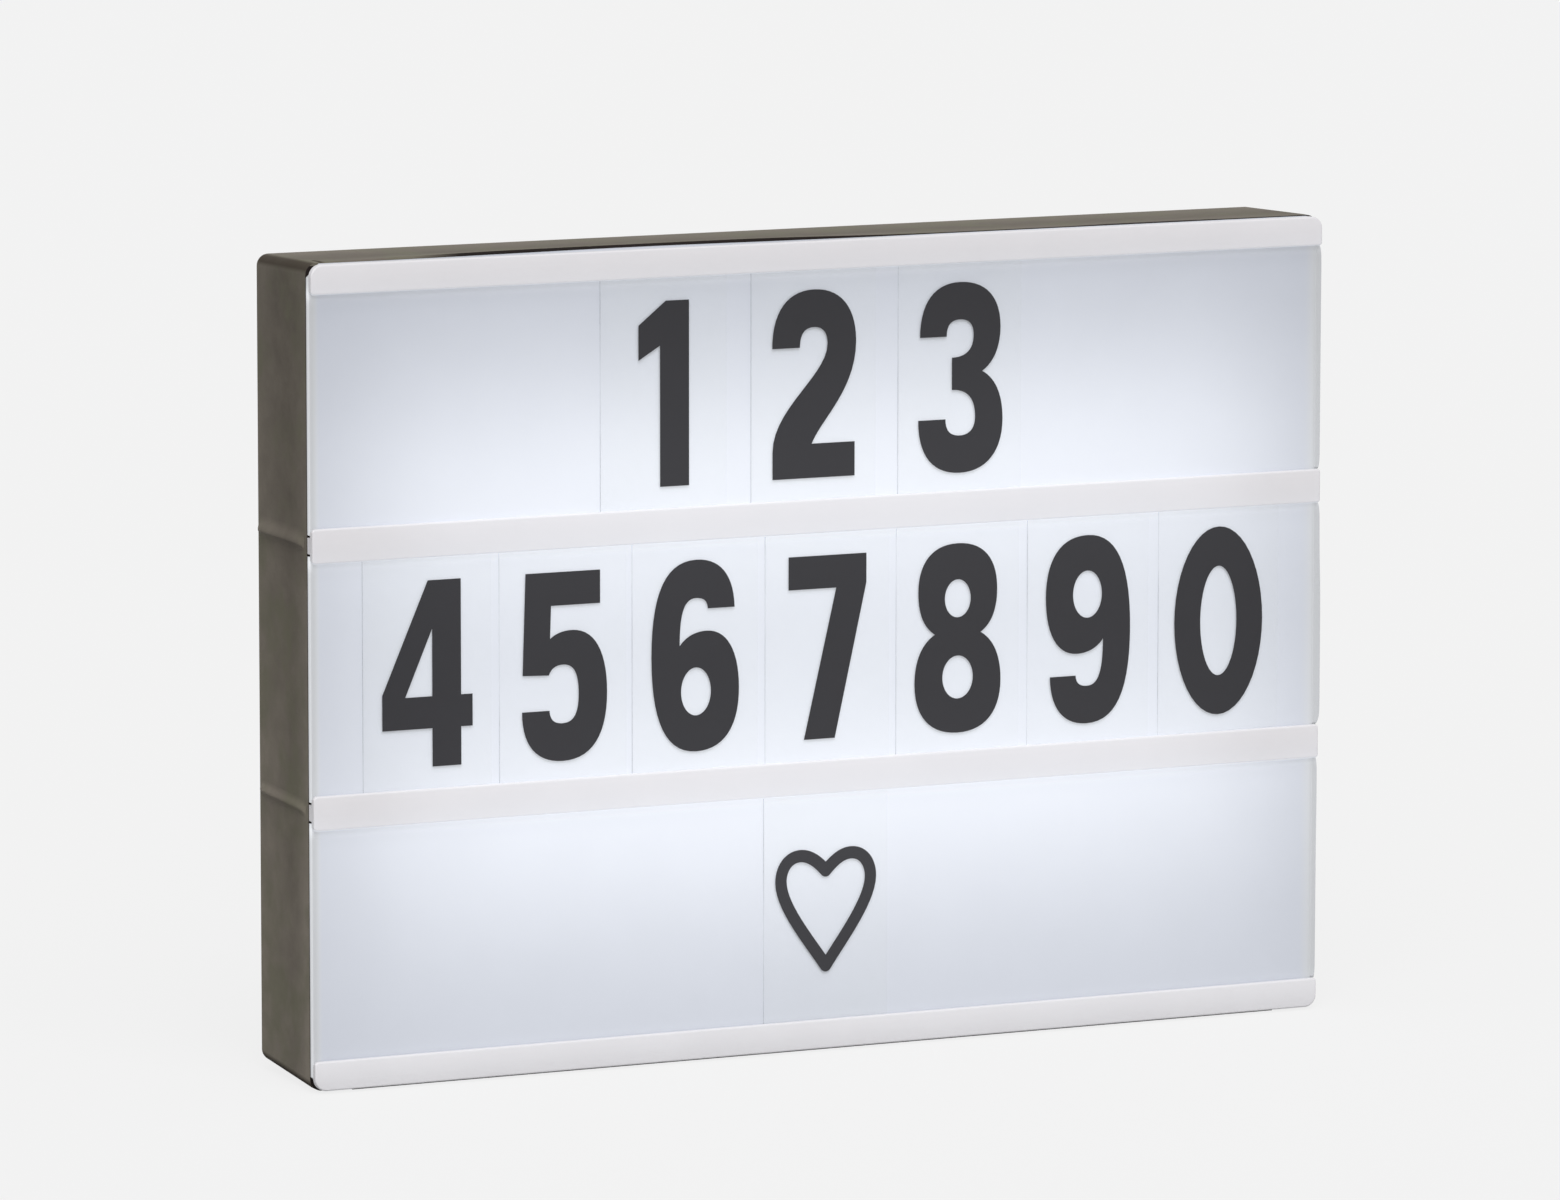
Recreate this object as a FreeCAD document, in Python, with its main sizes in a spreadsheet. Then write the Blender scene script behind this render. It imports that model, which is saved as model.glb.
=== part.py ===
import FreeCAD, Part
import math
import os
import Sketcher

# Cinema light box, A4 size: a drafted black tray with batteries, switch and lamp boards,
# closed by a white opal panel whose four rails hold sliding letter cards.
# Millimetres. X to the right, Y to the back, Z up; origin at the bottom centre.

SIZES = {
    # whole box
    "overall_width": 300.0,
    "overall_height": 221.4,
    "overall_depth": 40.5,
    # rear housing
    "wall": 2.0,
    "back_wall": 2.4,
    "rim_band": 3.0,
    "draft_inset": 0.6,
    "top_draft": 1.1,
    "rim_rise": 0.4,
    "floor_draft": 2.2,
    "housing_corner": 3.2,
    "back_round": 1.5,
    "foot_width": 20.0,
    "foot_depth": 9.0,
    "foot_spacing": 256.0,
    "foot_setback": 3.0,
    "foot_root": 3.0,
    # opal front panel
    "frame_inset": 0.8,
    "frame_top_gap": 0.2,
    "panel_thickness": 1.8,
    "panel_corner_cut": 3.6,
    "panel_edge_round": 0.5,
    "skirt_depth": 6.0,
    "skirt_wall": 1.4,
    "skirt_gap": 0.5,
    "boss_radius": 3.5,
    "post_radius": 4.2,
    "boss_inset": 12.0,
    # rails
    "rail_proud": 1.6,
    "lip_thickness": 0.85,
    "groove_height": 1.8,
    "end_rail_height": 8.0,
    "middle_rail_height": 9.3,
    "rail_corner": 3.3,
    "rail_small_corner": 0.9,
    "rail_edge_round": 0.45,
    "stop_length": 2.0,
    "tab_height": 4.3,
    "tab_reach": 1.3,
    "notch_gap": 0.7,
    "peg_radius": 1.2,
    "peg_gap": 0.05,
    "peg_spacing": 88.0,
    # letter cards
    "card_width": 37.0,
    "card_thickness": 0.35,
    "card_gap": 0.3,
    "card_1_edge": -66.6,
    "card_2_edge": -22.4,
    "card_3_edge": 21.3,
    "card_4_edge": -135.4,
    "card_5_edge": -96.1,
    "card_6_edge": -57.4,
    "card_7_edge": -18.2,
    "card_8_edge": 20.9,
    "card_9_edge": 60.5,
    "card_10_edge": 100.6,
    "heart_card_edge": -18.6,
    # white reflector sheet and lamp boards
    "sheet_thickness": 0.8,
    "sheet_margin": 1.5,
    "board_thickness": 1.2,
    "board_width": 10.0,
    "board_end_gap": 15.0,
    "board_row_spacing": 72.0,
    "led_size": 5.0,
    "led_height": 1.6,
    "led_end_inset": 36.0,
    # battery bay
    "cell_diameter": 14.5,
    "cell_length": 49.3,
    "nub_radius": 2.6,
    "nub_height": 1.2,
    "cell_spacing": 0.4,
    "cell_gap": 0.3,
    "bay_wall": 1.5,
    "bay_base_height": 48.0,
    "spring_radius": 3.0,
    "spring_wire": 0.4,
    "spring_length": 4.4,
    "spring_pitch": 1.2,
    "contact_thickness": 0.5,
    "contact_size": 10.0,
    "contact_gap": 0.1,
    "tag_width": 3.0,
    "tag_height": 4.5,
    "tag_offset": 3.0,
    "slot_gap": 0.3,
    # battery door
    "door_gap": 0.3,
    "ledge": 3.0,
    "ledge_depth": 2.0,
    "pin_radius": 0.6,
    "pin_gap": 0.05,
    "pin_length": 3.5,
    "latch_width": 14.0,
    "latch_height": 3.0,
    "latch_thickness": 1.0,
    "recess_width": 22.0,
    "recess_height": 8.0,
    "recess_depth": 3.4,
    "grip_width": 30.0,
    "grip_depth": 0.5,
    "grip_height": 1.0,
    "grip_pitch": 2.4,
    # rocker switch
    "switch_height": 75.0,
    "switch_seat_inset": 3.1,
    "switch_body_depth": 11.0,
    "switch_side_wall": 1.0,
    "switch_end_wall": 0.7,
    "switch_flange": 1.2,
    "switch_flange_edge": 1.0,
    "switch_gap": 0.15,
    "seat_margin": 0.6,
    "seat_thickness": 1.5,
    "rocker_width": 6.2,
    "rocker_height": 11.2,
    "rocker_depth": 4.2,
    "rocker_crown": 1.6,
    "rocker_dip": 0.8,
    "rocker_skirt": 0.6,
    "rocker_gap": 0.4,
    "rocker_well": 7.5,
    "rocker_sink": 0.9,
    "rocker_tilt": 11.0,
    "rocker_pin_radius": 0.8,
    "rocker_pin_length": 0.8,
    "rocker_pin_end_gap": 0.1,
    "terminal_length": 5.5,
    "terminal_width": 3.0,
    "terminal_thickness": 0.8,
    "terminal_pitch": 7.0,
    # power board and USB socket
    "power_board_inset": 3.4,
    "power_board_length": 31.4,
    "power_board_base": 20.0,
    "power_board_height": 30.0,
    "power_board_standoff": 6.1,
    "usb_depth": 5.6,
    "usb_width": 7.6,
    "usb_thickness": 2.7,
    "usb_rise": 14.0,
    "usb_overhang": 1.9,
    "usb_gap": 0.3,
    "usb_shell": 0.35,
    "board_post_radius": 3.0,
    "board_post_inset": 5.0,
    # screws
    "screw_radius": 1.45,
    "screw_length": 12.0,
    "screw_head_radius": 2.8,
    "screw_head_height": 2.0,
    "screw_grip": 3.0,
    "screw_slack": 0.15,
    "thread_gap": 0.03,
    "pilot_run_out": 1.0,
    "cut_run_out": 6.0,
    "bore_gap": 0.4,
    "small_screw_radius": 1.0,
    "small_screw_length": 5.0,
    "small_head_radius": 2.0,
    "small_head_height": 1.3,
    # keyholes for hanging
    "keyhole_drop": 36.4,
    "keyhole_spacing": 180.0,
    "keyhole_radius": 4.0,
    "keyhole_slot_radius": 2.0,
    "keyhole_slot_rise": 9.0,
    "keyhole_cup_depth": 5.0,
    "keyhole_cup_wall": 1.2,
    "keyhole_cup_margin": 1.5,
    # wiring
    "lead_radius": 0.7,
    "lead_bend": 2.0,
    "lead_hole_radius": 1.2,
    "lead_pad_drop": 4.0,
    "red_battery_rise": 6.0,
    "red_battery_inset": 4.5,
    "black_battery_rise": 10.0,
    "black_battery_inset": 7.5,
    "red_led_inset": 24.3,
    "black_led_inset": 33.3,
    "red_link_inset": 42.0,
    "black_link_inset": 46.0,
    "link_depth": 4.0,
}

CELLS = 6
LEDS_PER_BOARD = 7
GRIP_GROOVES = 4
PEGS_PER_RAIL = 4

doc = FreeCAD.newDocument("cinema_light_box")
sheet = doc.addObject("Spreadsheet::Sheet", "Sizes")
for row, (alias, amount) in enumerate(SIZES.items(), start=1):
    sheet.set(f"A{row}", alias)
    sheet.set(f"B{row}", str(amount))
    sheet.setAlias(f"B{row}", alias)
doc.recompute()

sub_parts = []


# ---------------------------------------------------------------- helpers

def size(text):
    """Write an expression in sheet words, such as 'wall + 2', as FreeCAD reads it."""
    words = text.replace("(", " ( ").replace(")", " ) ").split()
    return " ".join(f"Sizes.{word}" if word in SIZES else word for word in words)


def number(text):
    """The present value of an expression in sheet words."""
    return float(sheet.evalExpression(size(text)))


def bind(thing, expressions):
    """Tie properties of a document object to expressions in sheet words."""
    for name, text in expressions.items():
        thing.setExpression(name, size(text))


def place(thing, corner):
    bind(thing, dict(zip(("Placement.Base.x", "Placement.Base.y", "Placement.Base.z"), corner)))
    return thing


def block(name, lengths, corner):
    """A box of three lengths with its lowest corner at corner."""
    box = doc.addObject("Part::Box", name)
    bind(box, dict(zip(("Length", "Width", "Height"), lengths)))
    return place(box, corner)


def rod(name, radius, length, start, direction):
    """A cylinder that runs from start along direction."""
    cylinder = doc.addObject("Part::Cylinder", name)
    turn = FreeCAD.Rotation(FreeCAD.Vector(0, 0, 1), FreeCAD.Vector(*direction))
    cylinder.Placement = FreeCAD.Placement(FreeCAD.Vector(), turn)
    bind(cylinder, {"Radius": radius, "Height": length})
    return place(cylinder, start)


def fuse(name, shapes):
    union = doc.addObject("Part::MultiFuse", name)
    union.Shapes = shapes
    return union


def cut(name, base, tools):
    difference = doc.addObject("Part::Cut", name)
    difference.Base = base
    difference.Tool = tools[0] if len(tools) == 1 else fuse(f"{name}_tools", tools)
    return difference


def group(name, shapes):
    """Like pieces that share one node as separate solids."""
    compound = doc.addObject("Part::Compound", name)
    compound.Links = shapes
    return compound


def sub_part(thing):
    sub_parts.append(thing)
    return thing


def origin_plane(body, role):
    return [feature for feature in body.Origin.OriginFeatures if feature.Role == role][0]


def outline(body, name, role, offset, corners):
    """A closed sketch polygon on an origin plane of its body, each corner bound to the sheet."""
    sketch = body.newObject("Sketcher::SketchObject", name)
    sketch.AttachmentSupport = [(origin_plane(body, role), "")]
    sketch.MapMode = "FlatFace"
    bind(sketch, {"AttachmentOffset.Base.z": offset})
    points = [FreeCAD.Vector(number(u), number(v), 0) for u, v in corners]
    count = len(points)
    for index in range(count):
        sketch.addGeometry(Part.LineSegment(points[index], points[(index + 1) % count]))
    for index in range(count):
        sketch.addConstraint(Sketcher.Constraint("Coincident", index, 2, (index + 1) % count, 1))
    for index, corner in enumerate(corners):
        for kind, axis, text in zip(("DistanceX", "DistanceY"), (-2, -1), corner):
            value = number(text)
            if text == "0":
                sketch.addConstraint(Sketcher.Constraint("PointOnObject", index, 1, axis))
                continue
            ends = (index, 1, -1, 1) if value < 0 else (-1, 1, index, 1)
            made = sketch.addConstraint(Sketcher.Constraint(kind, *ends, abs(value)))
            signed = f"0 - ( {text} )" if value < 0 else text
            bind(sketch, {f"Constraints[{made}]": signed})
    return sketch


def pad(body, name, sketch, length, reverse=False):
    feature = body.newObject("PartDesign::Pad", name)
    feature.Profile = sketch
    feature.Reversed = reverse
    bind(feature, {"Length": length})
    doc.recompute()
    return feature


def pocket(body, name, sketch, length):
    feature = body.newObject("PartDesign::Pocket", name)
    feature.Profile = sketch
    bind(feature, {"Length": length})
    doc.recompute()
    return feature


def loft(body, name, kind, first, last):
    feature = body.newObject(f"PartDesign::{kind}", name)
    feature.Profile = first
    feature.Sections = [last]
    doc.recompute()
    return feature


def round_edges(body, name, radius, chosen):
    """Fillet the edges of the body's last feature that the test picks."""
    tip = body.Tip
    picked = [f"Edge{i}" for i, edge in enumerate(tip.Shape.Edges, start=1) if chosen(edge)]
    feature = body.newObject("PartDesign::Fillet", name)
    feature.Base = (tip, picked)
    bind(feature, {"Radius": radius})
    doc.recompute()
    return feature


def spans(edge, axis):
    """How far an edge reaches along x, y or z."""
    box = edge.BoundBox
    return {"x": box.XLength, "y": box.YLength, "z": box.ZLength}[axis]


def lies_on(edge, axis, text):
    """True for an edge that lies wholly at one x, y or z."""
    box = edge.BoundBox
    low, high = {"x": (box.XMin, box.XMax), "y": (box.YMin, box.YMax)}[axis]
    level = number(text)
    return abs(low - level) < 1e-4 and abs(high - level) < 1e-4


def rectangle(left, right, bottom, top):
    return [(left, bottom), (right, bottom), (right, top), (left, top)]


# ---------------------------------------------------------------- stations

LEFT = "( 0 - overall_width / 2 )"
RIGHT = "( overall_width / 2 )"
FRONT = "( 0 - overall_depth / 2 )"
BACK = "( overall_depth / 2 )"
PANEL_FRONT = f"( {FRONT} + rail_proud )"
LIP_BACK = f"( {FRONT} + lip_thickness )"
RIM = f"( {PANEL_FRONT} + panel_thickness )"
BAND_BACK = f"( {RIM} + rim_band )"
BACK_INSIDE = f"( {BACK} - back_wall )"
FRAME_BOTTOM = "frame_inset"
FRAME_TOP = "( overall_height - frame_top_gap )"

CELL_Y = f"( {BACK_INSIDE} - cell_gap - cell_diameter / 2 )"
BAY_FLOOR = f"( {CELL_Y} - cell_diameter / 2 - cell_gap )"
SHEET_BACK = f"( {BAY_FLOOR} - bay_wall )"
SHEET_FRONT = f"( {SHEET_BACK} - sheet_thickness )"
BOARD_FRONT = f"( {SHEET_FRONT} - board_thickness )"

CELL_PITCH = "( cell_diameter + cell_spacing )"
BAY_WIDTH = f"( {CELL_PITCH} * {CELLS} + cell_gap * 2 )"
BAY_HEIGHT = "( cell_length + nub_height + spring_length + contact_thickness * 2 + contact_gap * 2 )"
BAY_BOTTOM = "( bay_base_height + bay_wall )"
BAY_TOP = f"( {BAY_BOTTOM} + {BAY_HEIGHT} )"
DOOR_WIDTH = f"( {BAY_WIDTH} + bay_wall * 2 )"
DOOR_BOTTOM = "bay_base_height"
DOOR_TOP = f"( {BAY_TOP} + bay_wall )"
HINGE_Y = f"( {BACK} - back_wall / 2 )"
HINGE_Z = f"( {DOOR_BOTTOM} + back_wall / 2 )"

OPENING = (f"( ( {FRAME_TOP} - {FRAME_BOTTOM} - end_rail_height * 2"
           " - middle_rail_height * 2 ) / 3 )")
RAIL_BOTTOMS = {
    "bottom_rail": FRAME_BOTTOM,
    "lower_middle_rail": f"( {FRAME_BOTTOM} + end_rail_height + {OPENING} )",
    "upper_middle_rail": f"( {FRAME_BOTTOM} + end_rail_height + middle_rail_height + {OPENING} * 2 )",
    "top_rail": f"( {FRAME_TOP} - end_rail_height )",
}

BOSS_XS = (f"( {LEFT} + boss_inset )", f"( {RIGHT} - boss_inset )")
BOSS_ZS = ("boss_inset", "( overall_height / 2 )", "( overall_height - boss_inset )")
BOSSES = [(x, z) for z in BOSS_ZS for x in BOSS_XS]
BOARD_HEIGHTS = {"lower": "( overall_height / 2 - board_row_spacing / 2 )",
                 "upper": "( overall_height / 2 + board_row_spacing / 2 )"}
BOARD_LENGTH = "( overall_width - board_end_gap * 2 )"
LED_PITCH = f"( ( overall_width - led_end_inset * 2 ) / {LEDS_PER_BOARD - 1} )"
BOARD_SCREW_XS = (f"( {LEFT} + led_end_inset + {LED_PITCH} / 2 )",
                  f"( {RIGHT} - led_end_inset - {LED_PITCH} / 2 )")
BOARD_SCREWS = [(x, z) for z in BOARD_HEIGHTS.values() for x in BOARD_SCREW_XS]

KEYHOLE_HEIGHT = "( overall_height - keyhole_drop )"
KEYHOLE_XS = {"left": "( 0 - keyhole_spacing / 2 )", "right": "( keyhole_spacing / 2 )"}

POWER_RIGHT = f"( {RIGHT} - power_board_inset )"
POWER_LEFT = f"( {POWER_RIGHT} - power_board_length )"
POWER_BACK = f"( {BACK_INSIDE} - power_board_standoff )"
POWER_FRONT = f"( {POWER_BACK} - board_thickness )"
POWER_SCREWS = [
    (f"( {POWER_LEFT} + board_post_inset )", "( power_board_base + board_post_inset )"),
    (f"( {POWER_RIGHT} - board_post_inset )",
     "( power_board_base + power_board_height - board_post_inset )"),
]
USB_HEIGHT = "( power_board_base + usb_rise )"

SWITCH_Y = CELL_Y
SWITCH_SEAT = f"( {RIGHT} - switch_seat_inset )"
SWITCH_WIDTH = "( rocker_width + rocker_gap + switch_side_wall * 2 )"
SWITCH_HEIGHT = "( rocker_height + rocker_gap * 2 + switch_end_wall * 2 )"
FLANGE_FACE = f"( {SWITCH_SEAT} + switch_flange )"
PIVOT_X = f"( {FLANGE_FACE} - rocker_sink )"
TERMINAL_TIP = f"( {SWITCH_SEAT} - switch_body_depth - terminal_length )"
TERMINAL_ZS = {"lower": "( switch_height - terminal_pitch / 2 )",
               "upper": "( switch_height + terminal_pitch / 2 )"}
BOARD_TOP = "( power_board_base + power_board_height )"
LEAD_XS = {f"{colour}_{role}": f"( {RIGHT} - {colour}_{role}_inset )"
           for colour in ("red", "black") for role in ("led", "link")}

BACKWARD = (0, 1, 0)
FORWARD = (0, -1, 0)
SIDEWAYS = (1, 0, 0)


# ---------------------------------------------------------------- rear housing

def housing_shell():
    """The drafted tray: a straight band at the rim, then walls that lean in to the back."""
    body = doc.addObject("PartDesign::Body", "housing_shell")
    whole = rectangle(LEFT, RIGHT, "rim_rise", "overall_height")
    back = rectangle(f"{LEFT} + draft_inset", f"{RIGHT} - draft_inset",
                     "rim_rise + floor_draft", "overall_height - top_draft")
    pad(body, "rim", outline(body, "rim_outline", "XZ_Plane", f"0 - {RIM}", whole), "rim_band", True)
    start = outline(body, "taper_start", "XZ_Plane", f"0 - {BAND_BACK}", whole)
    finish = outline(body, "taper_end", "XZ_Plane", f"0 - {BACK}", back)
    loft(body, "taper", "AdditiveLoft", start, finish)
    round_edges(body, "corner_rounds", "housing_corner", lambda edge: spans(edge, "y") > 0.5)
    round_edges(body, "back_rounds", "back_round", lambda edge: lies_on(edge, "y", BACK))
    inside = rectangle(f"{LEFT} + wall", f"{RIGHT} - wall", "wall", "overall_height - wall")
    deep = rectangle(f"{LEFT} + wall + draft_inset", f"{RIGHT} - wall - draft_inset",
                     "wall + floor_draft", "overall_height - wall - top_draft")
    pocket(body, "mouth", outline(body, "mouth_outline", "XZ_Plane", f"0 - {RIM}", inside), "rim_band")
    near = outline(body, "cavity_start", "XZ_Plane", f"0 - {BAND_BACK}", inside)
    far = outline(body, "cavity_end", "XZ_Plane", f"0 - {BACK_INSIDE}", deep)
    loft(body, "cavity", "SubtractiveLoft", near, far)
    return body


def screw_posts():
    """Tubes on the back wall that the case screws pull against."""
    return [rod(f"post_{i}", "post_radius", f"{BACK_INSIDE} - {SHEET_BACK} + back_wall / 2",
                (x, SHEET_BACK, z), BACKWARD) for i, (x, z) in enumerate(BOSSES)]


def board_posts():
    """Slim posts under the reflector sheet that take the lamp board screws."""
    return [rod(f"board_post_{i}", "board_post_radius",
                f"{BACK_INSIDE} - {SHEET_BACK} + back_wall / 2", (x, SHEET_BACK, z), BACKWARD)
            for i, (x, z) in enumerate(BOARD_SCREWS)]


def power_posts():
    return [rod(f"power_post_{i}", "board_post_radius",
                f"{BACK_INSIDE} - {POWER_BACK} + back_wall / 2",
                (x, POWER_BACK, z), BACKWARD) for i, (x, z) in enumerate(POWER_SCREWS)]


def feet():
    """A low strip under the rim and two pads under the drafted back, all in one plane."""
    made = [block("front_foot", ("foot_spacing + foot_width", "foot_depth", "rim_rise + wall / 2"),
                  ("0 - ( foot_spacing + foot_width ) / 2", RIM, "0"))]
    for side, x in (("left", "0 - foot_spacing / 2"), ("right", "foot_spacing / 2")):
        made.append(block(f"back_foot_{side}", ("foot_width", "foot_depth", "foot_root"),
                          (f"{x} - foot_width / 2", f"{BACK} - foot_setback - foot_depth", "0")))
    return made


def keyhole_cups():
    """Closed cups behind the keyholes, so that no lamp light leaks out."""
    made = []
    reach = "( keyhole_radius + keyhole_cup_margin + keyhole_cup_wall )"
    for side, x in KEYHOLE_XS.items():
        made.append(block(
            f"cup_{side}",
            (f"{reach} * 2", "keyhole_cup_depth + keyhole_cup_wall + back_wall / 2",
             f"{reach} * 2 + keyhole_slot_rise"),
            (f"{x} - {reach}", f"{BACK_INSIDE} - keyhole_cup_depth - keyhole_cup_wall",
             f"{KEYHOLE_HEIGHT} - {reach}")))
    return made


def keyhole_cuts():
    made = []
    reach = "( keyhole_radius + keyhole_cup_margin )"
    for side, x in KEYHOLE_XS.items():
        made.append(block(
            f"cup_room_{side}",
            (f"{reach} * 2", "keyhole_cup_depth", f"{reach} * 2 + keyhole_slot_rise"),
            (f"{x} - {reach}", f"{BACK_INSIDE} - keyhole_cup_depth", f"{KEYHOLE_HEIGHT} - {reach}")))
        made.append(rod(f"keyhole_{side}", "keyhole_radius", "back_wall * 2",
                        (x, f"{BACK_INSIDE} - back_wall / 2", KEYHOLE_HEIGHT), BACKWARD))
        made.append(block(
            f"keyhole_slot_{side}",
            ("keyhole_slot_radius * 2", "back_wall * 2", "keyhole_slot_rise"),
            (f"{x} - keyhole_slot_radius", f"{BACK_INSIDE} - back_wall / 2", KEYHOLE_HEIGHT)))
        made.append(rod(f"keyhole_end_{side}", "keyhole_slot_radius", "back_wall * 2",
                        (x, f"{BACK_INSIDE} - back_wall / 2", f"{KEYHOLE_HEIGHT} + keyhole_slot_rise"),
                        BACKWARD))
    return made


def bay_walls():
    """The battery bay's box, the ledge that its door closes on and the finger recess's pan."""
    box = block("bay_box", (DOOR_WIDTH, f"{BACK_INSIDE} - {SHEET_BACK}", f"{DOOR_TOP} - {DOOR_BOTTOM}"),
                (f"0 - {DOOR_WIDTH} / 2", SHEET_BACK, DOOR_BOTTOM))
    rim = block("bay_ledge",
                (f"{DOOR_WIDTH} + ledge * 2", "ledge_depth + back_wall / 2",
                 f"{DOOR_TOP} - {DOOR_BOTTOM} + ledge * 2"),
                (f"0 - {DOOR_WIDTH} / 2 - ledge", f"{BACK_INSIDE} - ledge_depth",
                 f"{DOOR_BOTTOM} - ledge"))
    pan = block("recess_pan",
                ("recess_width + bay_wall * 2", "recess_depth + bay_wall - back_wall / 2",
                 "recess_height + bay_wall"),
                ("0 - recess_width / 2 - bay_wall", f"{BACK} - recess_depth - bay_wall", DOOR_TOP))
    return [box, rim, pan]


def bay_cuts():
    """The bay's room, the door's opening, its hinge bores, finger recess and tag slots."""
    room = block("bay_room", (BAY_WIDTH, "overall_depth", BAY_HEIGHT),
                 (f"0 - {BAY_WIDTH} / 2", BAY_FLOOR, BAY_BOTTOM))
    mouth = block("door_opening",
                  (f"{DOOR_WIDTH} + door_gap * 2", "overall_depth",
                   f"{DOOR_TOP} - {DOOR_BOTTOM} + door_gap * 2"),
                  (f"0 - {DOOR_WIDTH} / 2 - door_gap", f"{BACK_INSIDE} - door_gap",
                   f"{DOOR_BOTTOM} - door_gap"))
    bores = rod("hinge_bores", "pin_radius + pin_gap",
                f"{DOOR_WIDTH} + pin_length * 2 + door_gap * 2",
                (f"0 - {DOOR_WIDTH} / 2 - pin_length - door_gap", HINGE_Y, HINGE_Z), SIDEWAYS)
    recess = block("finger_recess",
                   ("recess_width", "overall_depth", "recess_height"),
                   ("0 - recess_width / 2", f"{BACK} - recess_depth", DOOR_TOP))
    slots = [block(f"tag_slot_{i}",
                   ("tag_width + slot_gap * 2", "contact_thickness + slot_gap * 2", "bay_wall * 2"),
                   (f"{x} - tag_width / 2 - slot_gap",
                    f"{TAG_Y} - contact_thickness / 2 - slot_gap", f"{BAY_TOP} - bay_wall / 2"))
             for i, x in enumerate((cell_x(0), cell_x(CELLS - 1)))]
    return [room, mouth, bores, recess] + slots


def screw_bores():
    """Counterbored clearance holes in the case posts, and pilot holes in the small posts."""
    made = []
    for i, (x, z) in enumerate(BOSSES):
        made.append(rod(f"post_hole_{i}", "screw_radius + screw_slack", "overall_depth",
                        (x, f"{SHEET_BACK} - wall", z), BACKWARD))
        made.append(rod(f"post_bore_{i}", "screw_head_radius + bore_gap", "overall_depth",
                        (x, f"{SHEET_BACK} + screw_grip", z), BACKWARD))
    deep = "small_screw_length + pilot_run_out"
    for i, (x, z) in enumerate(BOARD_SCREWS):
        made.append(rod(f"board_pilot_{i}", "small_screw_radius + thread_gap", deep,
                        (x, f"{SHEET_BACK} - wall", z), BACKWARD))
    for i, (x, z) in enumerate(POWER_SCREWS):
        made.append(rod(f"power_pilot_{i}", "small_screw_radius + thread_gap", deep,
                        (x, f"{POWER_BACK} - pilot_run_out", z), BACKWARD))
    return made


def switch_seat():
    """A thickened patch inside the right wall that the rocker switch clips through."""
    reach = f"( {SWITCH_WIDTH} / 2 + switch_flange_edge + seat_margin + wall )"
    rise = f"( {SWITCH_HEIGHT} / 2 + switch_flange_edge + seat_margin + wall )"
    return block("switch_patch", ("seat_thickness + wall / 4", f"{reach} * 2", f"{rise} * 2"),
                 (f"{SWITCH_SEAT} - seat_thickness", f"{SWITCH_Y} - {reach}",
                  f"switch_height - {rise}"))


def side_cuts():
    """The switch's flat seat and opening, and the USB socket's slot, in the right wall."""
    reach = f"( {SWITCH_WIDTH} / 2 + switch_flange_edge + seat_margin )"
    rise = f"( {SWITCH_HEIGHT} / 2 + switch_flange_edge + seat_margin )"
    seat = block("seat_pocket", ("cut_run_out", f"{reach} * 2", f"{rise} * 2"),
                 (SWITCH_SEAT, f"{SWITCH_Y} - {reach}", f"switch_height - {rise}"))
    hole = block("switch_hole",
                 ("cut_run_out * 2", f"{SWITCH_WIDTH} + switch_gap * 2",
                  f"{SWITCH_HEIGHT} + switch_gap * 2"),
                 (f"{SWITCH_SEAT} - cut_run_out", f"{SWITCH_Y} - {SWITCH_WIDTH} / 2 - switch_gap",
                  f"switch_height - {SWITCH_HEIGHT} / 2 - switch_gap"))
    usb = block("usb_hole",
                ("cut_run_out * 2", "usb_thickness + usb_gap * 2", "usb_width + usb_gap * 2"),
                (f"{RIGHT} - cut_run_out", f"{POWER_FRONT} - usb_thickness - usb_gap",
                 f"{USB_HEIGHT} - usb_width / 2 - usb_gap"))
    return [seat, hole, usb]


def rear_housing():
    solid = fuse("housing_solid", [housing_shell(), switch_seat()] + screw_posts() + board_posts()
                 + power_posts() + feet() + keyhole_cups() + bay_walls())
    return cut("rear_housing", solid, screw_bores() + keyhole_cuts() + bay_cuts() + side_cuts())


# ---------------------------------------------------------------- batteries and contacts

def cell_x(index):
    return f"( ( {index} - {(CELLS - 1) / 2} ) * {CELL_PITCH} )"


TAG_Y = f"( {CELL_Y} - tag_offset )"
LOW_END = f"( {BAY_BOTTOM} + contact_thickness + contact_gap )"
HIGH_END = f"( {BAY_TOP} - contact_thickness - contact_gap )"


def battery(index):
    """One round cell; neighbours stand the other way up."""
    nub_up = index % 2 == 0
    bottom = f"( {LOW_END} + spring_length )" if nub_up else f"( {LOW_END} + nub_height )"
    can = rod(f"can_{index}", "cell_diameter / 2", "cell_length", (cell_x(index), CELL_Y, bottom),
              (0, 0, 1))
    nub_base = f"{bottom} + cell_length" if nub_up else LOW_END
    nub = rod(f"nub_{index}", "nub_radius", "nub_height", (cell_x(index), CELL_Y, nub_base), (0, 0, 1))
    return fuse(f"battery_{index + 1}", [can, nub])


def battery_springs():
    """A coil spring under the flat end of each cell, swept along a helix."""
    radius = number("spring_radius")
    wire = number("spring_wire")
    free = number("spring_length - contact_gap") - wire * 2
    coils = []
    for index in range(CELLS):
        base = LOW_END if index % 2 == 0 else f"{HIGH_END} - spring_length"
        helix = Part.makeHelix(number("spring_pitch"), free, radius)
        profile = Part.Wire(Part.makeCircle(wire, FreeCAD.Vector(radius, 0, 0), FreeCAD.Vector(0, 1, 0)))
        coil = Part.Wire(helix).makePipeShell([profile], True, True)
        coil.translate(FreeCAD.Vector(number(cell_x(index)), number(CELL_Y), number(base) + wire))
        coils.append(coil)
    springs = doc.addObject("Part::Feature", "battery_springs")
    springs.Shape = Part.makeCompound(coils)
    return springs


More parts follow.
